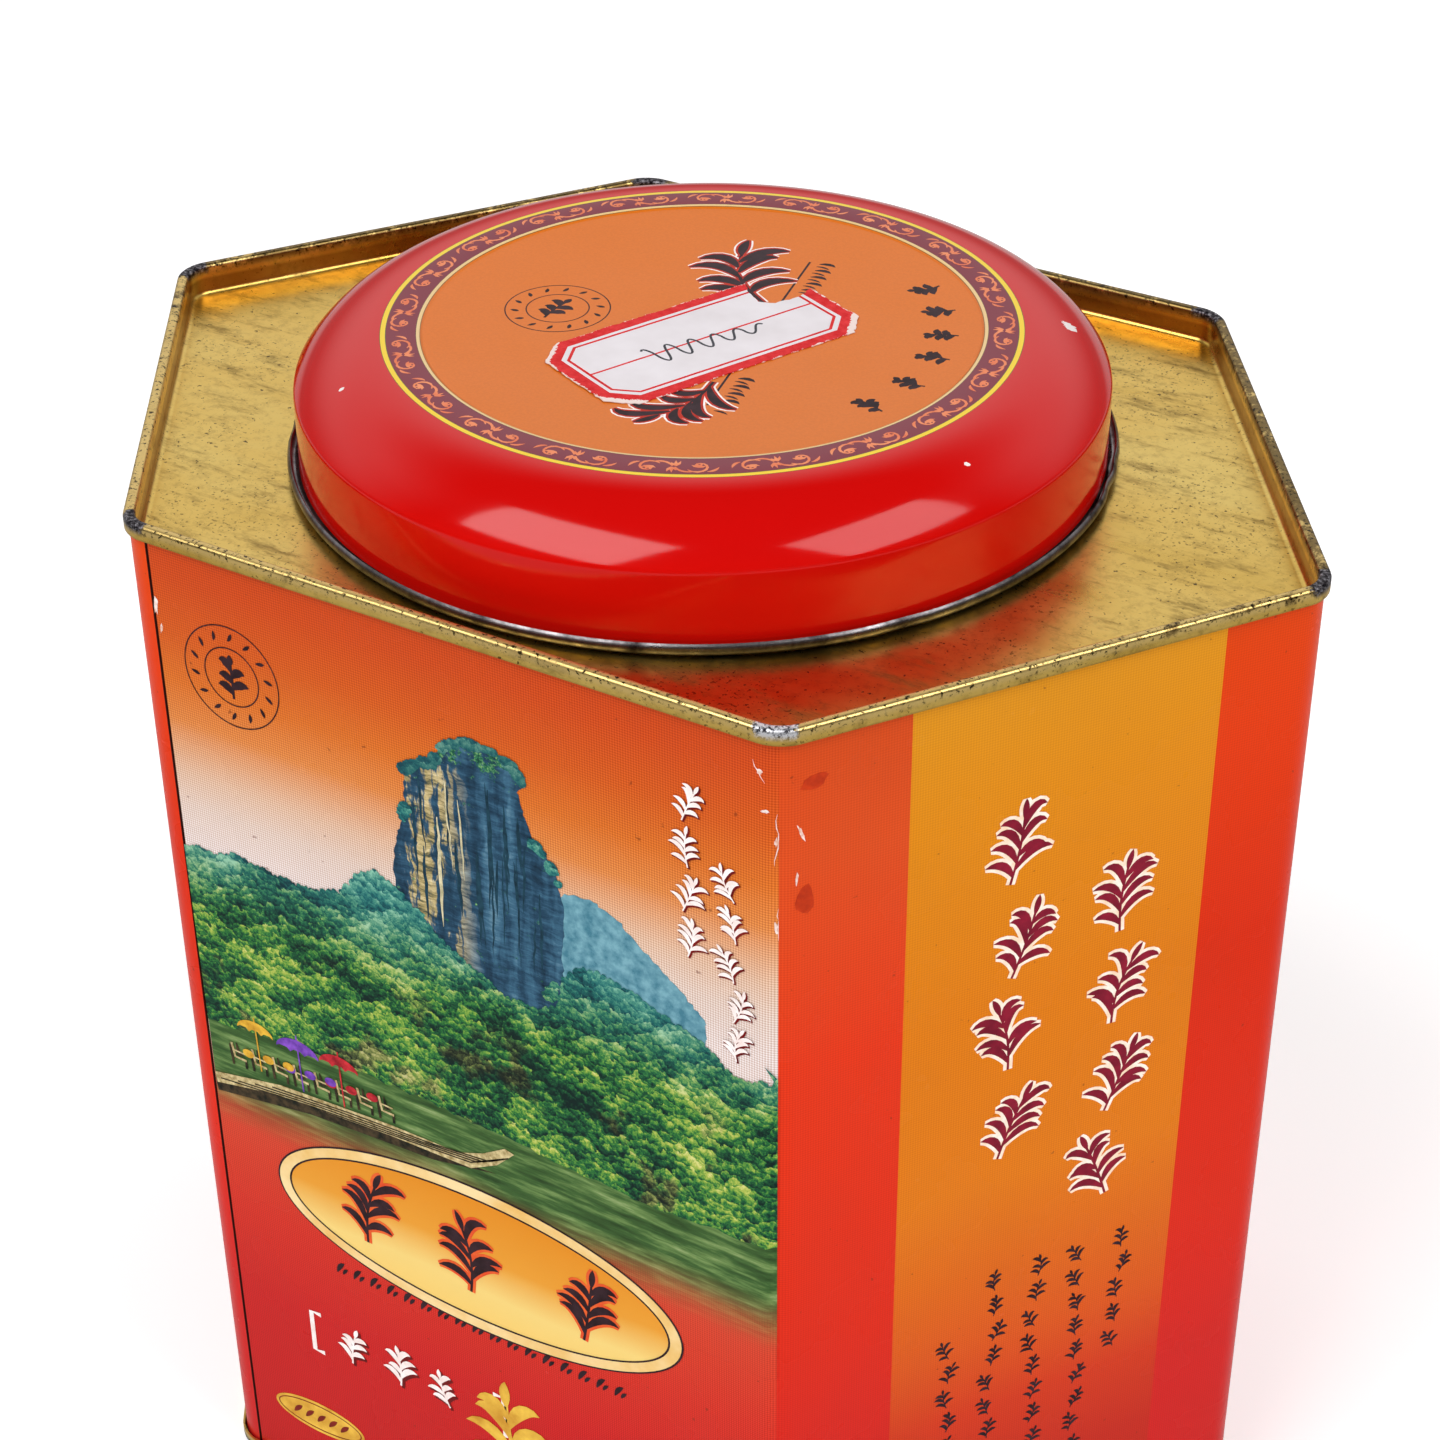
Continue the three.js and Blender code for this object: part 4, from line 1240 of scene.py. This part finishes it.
def wideMarks(wide, dark, white, gold):
    rng = random.Random(cartouche["seed"])
    lift, line = cartouche["lift"], cartouche["line"]
    halfX, halfY = cartouche["half"]
    inset = cartouche["border"]
    bm = bmesh.new()
    inkOval(bm, cartouche["centre"], halfX - inset / 2, halfY - inset / 2, lift + 0.02, 96)
    finishInk("cartouche_print", bm, wide, cartoucheInk())
    bm = bmesh.new()
    inkRing(bm, cartouche["centre"], halfX, halfY, inset, lift + 0.04, 96)
    finishInk("cartouche_border_print", bm, wide, flatInk("paleGoldInk", "#f3d9a0", "#e6ba6a", 9))
    bm = bmesh.new()
    inkRing(bm, cartouche["centre"], halfX + line, halfY + line, line, lift + 0.02, 96)
    inkRing(bm, cartouche["centre"], halfX - inset, halfY - inset, line, lift + 0.06, 96)

    halo, ink = bmesh.new(), bm
    for x, y, size, turn in cartouche["marks"]:
        strokes = sprigLines((x, y), size, turn, rng, 8, 0.62)
        drawStrokes(halo, strokes, lift + 0.06, 0.9)
        drawStrokes(ink, strokes, lift + 0.08)
    finishInk("cartouche_glow_print", halo, wide, flatInk("glowRedInk", "#e8662c", "#dc4a22", 3))

    # a caption of small leaves under the cartouche, and the seal above the landscape
    for i in range(sideMarks["captionLeaves"]):
        x = sideMarks["caption"] + sideMarks["captionPitch"] * i
        inkStroke(ink, bent((x, 44.9), (x + 0.5, 46.5), (x + 1.4, 47.0), 4), 0.75, 0.05, leafWidth)
        inkStroke(ink, bent((x + 1.0, 44.9), (x + 1.3, 45.7), (x + 1.9, 46.1), 4), 0.55, 0.05, leafWidth)
    sealLines(ink, sideMarks["seal"], sideMarks["sealRadius"], sideMarks["sealInner"], 0.16, 0.05, rng)
    finishInk("dark_marks_print", ink, wide, dark)

    shadow, bm = bmesh.new(), bmesh.new()
    for i, size in enumerate((6.4, 6.8, 6.2)):
        strokes = sprigLines((22.6 + 8.4 * i, 27.8), size, 10 - 12 * i, rng, 6, 0.85)
        drawStrokes(shadow, shifted(strokes, 0.35), 0.05, 0.25)
        drawStrokes(bm, strokes, 0.07)
    for x, hand in sideMarks["brackets"]:
        inkStroke(bm, [(x, 34.6), (x - 1.7 * hand, 34.6), (x - 1.7 * hand, 27.2), (x, 27.2)], 0.8, 0.07)
    for x, top, count, pitch, size in sideMarks["columns"]:
        for i in range(count):
            foot = (x + rng.uniform(-0.4, 0.4), top - pitch * i - size * 0.7)
            strokes = sprigLines(foot, size, rng.uniform(-24, 24), rng, 7, 0.7)
            drawStrokes(shadow, shifted(strokes, 0.18), 0.11, 0.12)
            drawStrokes(bm, strokes, 0.13)
    finishInk("white_marks_print", bm, wide, white)
    finishInk("mark_shadow_print", shadow, wide, flatInk("markShadowInk", "#7c1512", "#5e0d0f", 3))

    bm = bmesh.new()
    drawStrokes(bm, sprigLines((51.5, 18.5), 17.5, -8, rng, 7, 0.75), 0.07)
    inkOval(bm, sideMarks["oval"], *sideMarks["ovalHalf"], 0.05)
    finishInk("gold_marks_print", bm, wide, gold)
    bm = bmesh.new()
    ovalX, ovalY = sideMarks["ovalHalf"]
    inkRing(bm, sideMarks["oval"], ovalX - 0.5, ovalY - 0.5, 0.2, 0.07)
    for i in range(5):
        x = 10.6 + 2.1 * i
        inkStroke(bm, bent((x, 12.0), (x + 0.8, 13.2), (x + 1.6, 13.8), 5), 0.8, 0.07, leafWidth)
    finishInk("small_oval_print", bm, wide, flatInk("ovalRedInk", "#8a2416", "#6a1a12", 3))


# leaf columns on the narrow sides

narrowArt = {
    # each column: along the side, top, how many, and for the big ones their pitch and size
    "big": [(31.0, 140.0, 4, 14.2, 12.4), (46.5, 128.0, 4, 14.2, 12.4)],
    "small": [(50.5, 64.5, 5), (44.5, 64.5, 13), (38.0, 64.5, 13), (31.6, 64.5, 13), (25.2, 55.0, 11)],
    "smallPitch": 4.5, "smallSize": 3.7, "halo": 0.95, "seed": 21,
}


def narrowMarks(narrow, dark):
    rng = random.Random(narrowArt["seed"])
    halo, bm = bmesh.new(), bmesh.new()
    for x, top, count, pitch, size in narrowArt["big"]:
        for i in range(count):
            foot = (x + rng.uniform(-0.8, 0.8), top - pitch * i - size + 0.6)
            strokes = sprigLines(foot, size * 0.86, rng.uniform(-22, 22), rng, 8, 0.62)
            drawStrokes(halo, strokes, 0.03, narrowArt["halo"])
            drawStrokes(bm, strokes, 0.05)
    finishInk("big_leaf_halo_print", halo, narrow, flatInk("haloInk", "#fbeee2", "#f3d3b4", 1.6))
    finishInk("big_leaf_print", bm, narrow, flatInk("maroonInk", "#8c1730", "#6d1026", 2.5))
    bm = bmesh.new()
    for x, top, count in narrowArt["small"]:
        for i in range(count):
            foot = (x, top - narrowArt["smallPitch"] * i - 1.7)
            strokes = sprigLines(foot, narrowArt["smallSize"] * 0.9, rng.uniform(-30, 30), rng, 5, 0.9)
            drawStrokes(bm, strokes, 0.03)
    finishInk("small_leaf_print", bm, narrow, dark)


# knocks and chips by the front side's corners, where the print has flaked

chips = {
    "seed": 5,
    # across, up, half width, half height, lean
    "front": [
        (89.2, 152.4, 0.4, 0.3, 0), (89.9, 147.3, 0.55, 0.25, 0.3), (91.2, 143.4, 0.2, 0.6, 0.1),
        (91.2, 131.2, 0.2, 0.9, -0.1), (3.6, 147.4, 0.35, 1.3, 0.1), (4.0, 144.2, 0.2, 0.7, 0.2)],
    "creases": [
        [(88.2, 153.6), (89.9, 151.0)], [(91.2, 147), (91.5, 143.5), (91.0, 140)],
        [(91.4, 134), (91.5, 129.5)]],
    "side": [(3.1, 144.2, 0.22, 1.2, -0.4), (2.6, 138.0, 0.16, 0.9, 0.1)],
    "stains": [(3.6, 134.6, 1.3, 1.9, 0.2), (4.6, 150.6, 1.6, 1.0, 0.5)],
}


def cornerChips(wide, narrow):
    rng = random.Random(chips["seed"])

    def flake(bm, x, y, halfX, halfY, lean, lift):
        # one chip with a ragged outline
        outline = []
        for i in range(12):
            angle = 2 * math.pi * i / 12
            reach = 1 + rng.uniform(-0.35, 0.25)
            px, py = halfX * reach * math.cos(angle), halfY * reach * math.sin(angle)
            outline.append((x + px + py * lean, y + py))
        inkArea(bm, outline, lift)

    pale, stain = bmesh.new(), bmesh.new()
    for flaked in chips["front"]:
        flake(pale, *flaked, 0.03)
    for crease in chips["creases"]:
        inkStroke(pale, raggedLine(crease, 0.8, 0.16, rng), 0.14, 0.026, leafWidth)
    foldOverCorner(pale)
    finishInk("corner_chip_front", pale, wide[:1], flatInk("flakedPrint", "#f6e9e2", "#d9a58f", 0.8))
    pale = bmesh.new()
    for flaked in chips["side"]:
        flake(pale, *flaked, 0.03)
    for flaked in chips["stains"]:
        flake(stain, *flaked, 0.02)
    finishInk("corner_chip_side", pale, narrow[:1], flatInk("flakedPrintSide", "#f6e9e2", "#d9a58f", 0.8))
    finishInk("corner_stain_side", stain, narrow[:1], flatInk("rubbedRed", "#c4390f", "#a82c0c", 1.5))


# the roundel on the lid, in mm from its middle

lidArt = {
    "motifs": 20, "firstMotif": 8.3, "motifRadius": 37.95, "seed": 31,
    "seal": (-18.2, -5.5), "sealRadius": 6.8, "sealInner": 4.1,
    "arcRadius": 30.3, "arcAngles": (50, 37, 24, 12, -2, -17), "arcSize": 4.0,
}


def curlLine(centre, radius, start, sweep, steps=11):
    # a scroll that winds inwards
    line = []
    for i in range(steps + 1):
        t = i / steps
        angle = math.radians(start + sweep * t)
        reach = radius * (1 - 0.72 * t)
        line.append((centre[0] + reach * math.cos(angle), centre[1] + reach * math.sin(angle)))
    return line


def scrollMotif(bm, lift):
    # an S-shaped stem that curls over at both ends, each curl holding a fan of petals; 11 mm long
    def limb(points, hand, width, rise, profile=leafWidth):
        inkStroke(bm, [(hand * x, hand * y) for x, y in points], width, lift + rise, profile)

    for hand in (1, -1):
        limb(curlLine((2.9, 0.15), 1.5, 215, 330, 12), hand, 0.36, 0.002, brushWidth)
        limb(bent((0.1, -0.2), (1.0, -1.5), (2.2, -1.1), 5), hand, 0.34, 0.0, evenWidth)
        limb(bent((4.0, -1.0), (4.9, -0.9), (5.3, 0.2), 5), hand, 0.4, 0.0)
        for angle in (20, 65, 110, 155):
            x, y = 2.9 + 0.95 * math.cos(math.radians(angle)), math.sin(math.radians(angle))
            petal = [(2.9, -0.1), ((2.9 + x) / 2, (y - 0.1) / 2), (x, y)]
            limb(petal, hand, 0.42, 0.001 + angle * 1e-05)
        for angle in (60, 100, 140):
            x, y = math.cos(math.radians(angle)), math.sin(math.radians(angle))
            petal = [(0.3, 0.1), (0.3 + 0.6 * x, 0.1 + 0.7 * y), (0.3 + 0.9 * x, 0.1 + 1.35 * y)]
            limb(petal, hand, 0.4, 0.001 + angle * 1e-05)


def lidPrints(dark, white):
    rng = random.Random(lidArt["seed"])
    ringTop = lidHigh - lid["clear"]
    disc = ringTop - lid["discDrop"]
    bm = bmesh.new()
    scrollMotif(bm, 0.0)
    spots = []
    for i in range(lidArt["motifs"]):
        angle = math.radians(lidArt["firstMotif"] + 360 * i / lidArt["motifs"])
        turn = Matrix.Rotation(angle - math.pi / 2, 4, "Z")
        outward = Matrix.Translation((0, lidArt["motifRadius"], 0))
        spots.append(Matrix.Translation((0, 0, ringTop + 0.01)) @ turn @ outward)
    salmon = flatInk("salmonInk", "#ee9468", "#dd6f4c", 3)
    finishInk("lid_scroll_print", bm, spots, salmon, "slip_lid")

    ground = [Matrix.Translation((0, 0, disc + 0.004))]
    halo, edge, bm = bmesh.new(), bmesh.new(), bmesh.new()
    for foot, size, turn in (((3.6, 9.0), 17.0, -38), ((9.5, -13.0), 12.5, 190)):
        strokes = sprigLines(foot, size, turn, rng, 8, 0.58)
        drawStrokes(halo, strokes, 0.0, 1.1)
        drawStrokes(edge, strokes, 0.004, 0.6)
        drawStrokes(bm, strokes, 0.008)
    inkStroke(bm, [(2.8, 22.6), (12.0, -18.6)], 0.3, 0.0)
    for i in range(22):
        t = i / 21
        if 0.2 < t < 0.8:
            continue
        x, y = 2.8 + 9.2 * t + 1.4, 22.6 - 41.2 * t
        inkStroke(bm, bent((x, y), (x + 1.2, y + 0.9), (x + 2.3, y + 0.2), 4), 0.7, 0.0, leafWidth)
        inkStroke(bm, bent((x, y - 0.8), (x + 1.0, y - 0.4), (x + 2.0, y - 0.9), 4), 0.4, 0.0, leafWidth)
    for angle in lidArt["arcAngles"]:
        a = math.radians(angle)
        r = lidArt["arcRadius"]
        size = lidArt["arcSize"]
        foot = ((r + size / 2) * math.cos(a), (r + size / 2) * math.sin(a))
        drawStrokes(bm, sprigLines(foot, size, -90 - angle, rng, 5, 1.5), 0.0)
    sealLines(bm, lidArt["seal"], lidArt["sealRadius"], lidArt["sealInner"], 0.17, 0.0, rng)
    finishInk("lid_halo_print", halo, ground, white, "slip_lid")
    edgeInk = flatInk("edgeRedInk", "#c4301c", "#a02014", 3)
    finishInk("lid_edge_print", edge, ground, edgeInk, "slip_lid")
    finishInk("lid_dark_print", bm, ground, dark, "slip_lid")


def penScrawl():
    # a shopkeeper's pen mark across the label
    turn = math.radians(label["turn"])
    line = []
    for i in range(111):
        t = i / 110
        swing = 2 * math.pi * (5.2 * t + 0.1)
        u = -8.6 + 16.5 * t + 0.5 * math.sin(swing)
        v = -0.3 - 1.4 * t + (2.2 - 1.3 * t) * math.sin(swing + 0.6 * math.sin(swing))
        line.append((label["centre"][0] + u * math.cos(turn) - v * math.sin(turn),
                     label["centre"][1] + u * math.sin(turn) + v * math.cos(turn)))
    bm = bmesh.new()
    inkStroke(bm, line, 0.32, 0.0)
    top = lidHigh - lid["clear"] - lid["discDrop"] + 0.03 + label["thickness"] + 0.02
    pen = flatInk("penInk", "#4a4a52", "#25252c", 0.8)
    finishInk("label_pen_print", bm, [Matrix.Translation((0, 0, top))], pen, "slip_lid")


print("drawing the metal pieces")
enamel = redEnamel()
lacquer = goldLacquer()
dullTin = bareTinplate("dulledTinplate", "#a9a6a2", "#5b5651")
wallPrint = lithographedWall()
bodyWall([wallPrint, lacquer])
endPlate("top_plate", lacquer, neck["radius"] + tin["sheet"] / 2 + neck["holeGap"], False)
endPlate("bottom_plate", lacquer, 0, True)
neckCollar(dullTin)
innerLid(lacquer)
darkTin = bareTinplate("handledTinplate", "#8f8a8c", "#2c2628")
slipLid([enamel, lacquer, darkTin, darkTin])
paperLabel(labelPaper())

print("printing the sides and the lid")
wideSides, narrowSides = sidePanels()
darkInk = flatInk("blackBrownInk", "#38232a", "#241418", 2.0)
whiteInk = flatInk("opaqueWhiteInk", "#fdf6f4", "#efdcd6", 1.6)
wideLandscape(wideSides)
wideMarks(wideSides, darkInk, whiteInk, flatInk("goldInk", "#ecc24a", "#c8902a", 4.0))
narrowMarks(narrowSides, darkInk)
cornerChips(wideSides, narrowSides)
lidPrints(darkInk, whiteInk)
penScrawl()

# floor, light and camera

def studio():
    bm = bmesh.new()
    bmesh.ops.create_grid(bm, x_segments=1, y_segments=1, size=6.0)
    mesh = bpy.data.meshes.new("studio_floor")
    bm.to_mesh(mesh)
    bm.free()
    floor = bpy.data.objects.new("studio_floor", mesh)
    bpy.context.collection.objects.link(floor)
    material = newMaterial("paleFloor", {
        "Base Color": hexColor("#f7f6f7"), "Roughness": 0.9, "Specular IOR Level": 0.1,
        "Emission Color": hexColor("#ffffff"), "Emission Strength": 0.36})[0]
    mesh.materials.append(material)
    floor.visible_glossy = False     # the tin's gloss sees the grey world below, not the white table


studioShot = {
    "aim": (39.0, -60.7, 158.5), "distance": 329.5, "azimuth": 31.29, "elevation": 33.51, "roll": -0.5,
    "lens": 75.95,
}


def direction(azimuth, elevation):
    # unit vector from the tin towards an azimuth (0 is the front, 90 is +X) and elevation
    a, e = math.radians(azimuth), math.radians(elevation)
    return Vector((math.sin(a) * math.cos(e), -math.cos(a) * math.cos(e), math.sin(e)))


def addCamera():
    data = bpy.data.cameras.new("camera")
    data.lens = studioShot["lens"]
    data.sensor_width = 36
    camera = bpy.data.objects.new("camera", data)
    bpy.context.collection.objects.link(camera)
    back = direction(studioShot["azimuth"], studioShot["elevation"])
    turn = back.to_track_quat("Z", "Y").to_matrix().to_4x4()
    roll = Matrix.Rotation(math.radians(studioShot["roll"]), 4, "Z")
    spot = (Vector(studioShot["aim"]) + back * studioShot["distance"]) * mm
    camera.matrix_world = Matrix.Translation(spot) @ turn @ roll
    data.clip_start = 0.01
    bpy.context.scene.camera = camera


def addSoftbox(name, azimuth, elevation, distance, size, watts, inGloss=True):
    # a rectangular lamp aimed at the tin; one that isn't in the gloss only lights
    data = bpy.data.lights.new(name, "AREA")
    data.shape = "RECTANGLE"
    data.size, data.size_y = size
    data.energy = watts
    light = bpy.data.objects.new(name, data)
    light.visible_glossy = inGloss
    bpy.context.collection.objects.link(light)
    toward = direction(azimuth, elevation)
    light.matrix_world = (Matrix.Translation(toward * distance + Vector((0, 0, 0.12)))
                          @ toward.to_track_quat("Z", "Y").to_matrix().to_4x4())


def addWorld():
    # white sweep behind the tin, grey below it, and a dark room in front and overhead
    world = bpy.data.worlds.new("studio")
    bpy.context.scene.world = world
    world.use_nodes = True
    tree = world.node_tree
    background = tree.nodes["Background"]
    point = addNode(tree, "TexCoord", out="Generated")
    back = -direction(studioShot["azimuth"], 0)
    facing = addNode(tree, "VectorMath", [point, back], out="Value", operation="DOT_PRODUCT")
    height = addNode(tree, "SeparateXYZ", [point], out=2)
    sweep = addNode(tree, "MapRange", [facing, -0.1, 0.45], **smooth)
    limits = ((0.85, 0.55, 0.0, 1.0), (0.05, 0.42, 0.18, 1.0), (-0.1, 0.0, 0.0, 1.0))
    for low, high, weak, strong in limits:
        part = addNode(tree, "MapRange", [height, low, high, weak, strong], **smooth)
        sweep = addNode(tree, "Math", [sweep, part], operation="MULTIPLY")
    below = addNode(tree, "MapRange", [height, 0.0, -0.1, 0.0, 0.56], **smooth)
    sweep = addNode(tree, "Math", [sweep, below], operation="MAXIMUM")
    tone = addNode(tree, "ValToRGB", [sweep], ramp=[(0.0, 0.02), (1.0, 1.0)])
    seen = addNode(tree, "LightPath", out="Is Camera Ray")
    tone = addNode(tree, "MixRGB", [seen, tone, hexColor("#f7f6f7")])     # plain pale behind the tin
    tree.links.new(tone, background.inputs["Color"])
    background.inputs["Strength"].default_value = 1.0


studio()
addCamera()
addWorld()
addSoftbox("left_softbox", -20, 54, 1.8, (1.25, 0.9), 22)
addSoftbox("right_softbox", 93, 49, 1.8, (1.1, 0.8), 14)
addSoftbox("front_fill", 46, 10, 2.0, (1.4, 0.5), 9, False)
bpy.context.scene.view_settings.view_transform = "Standard"
print("studio set")
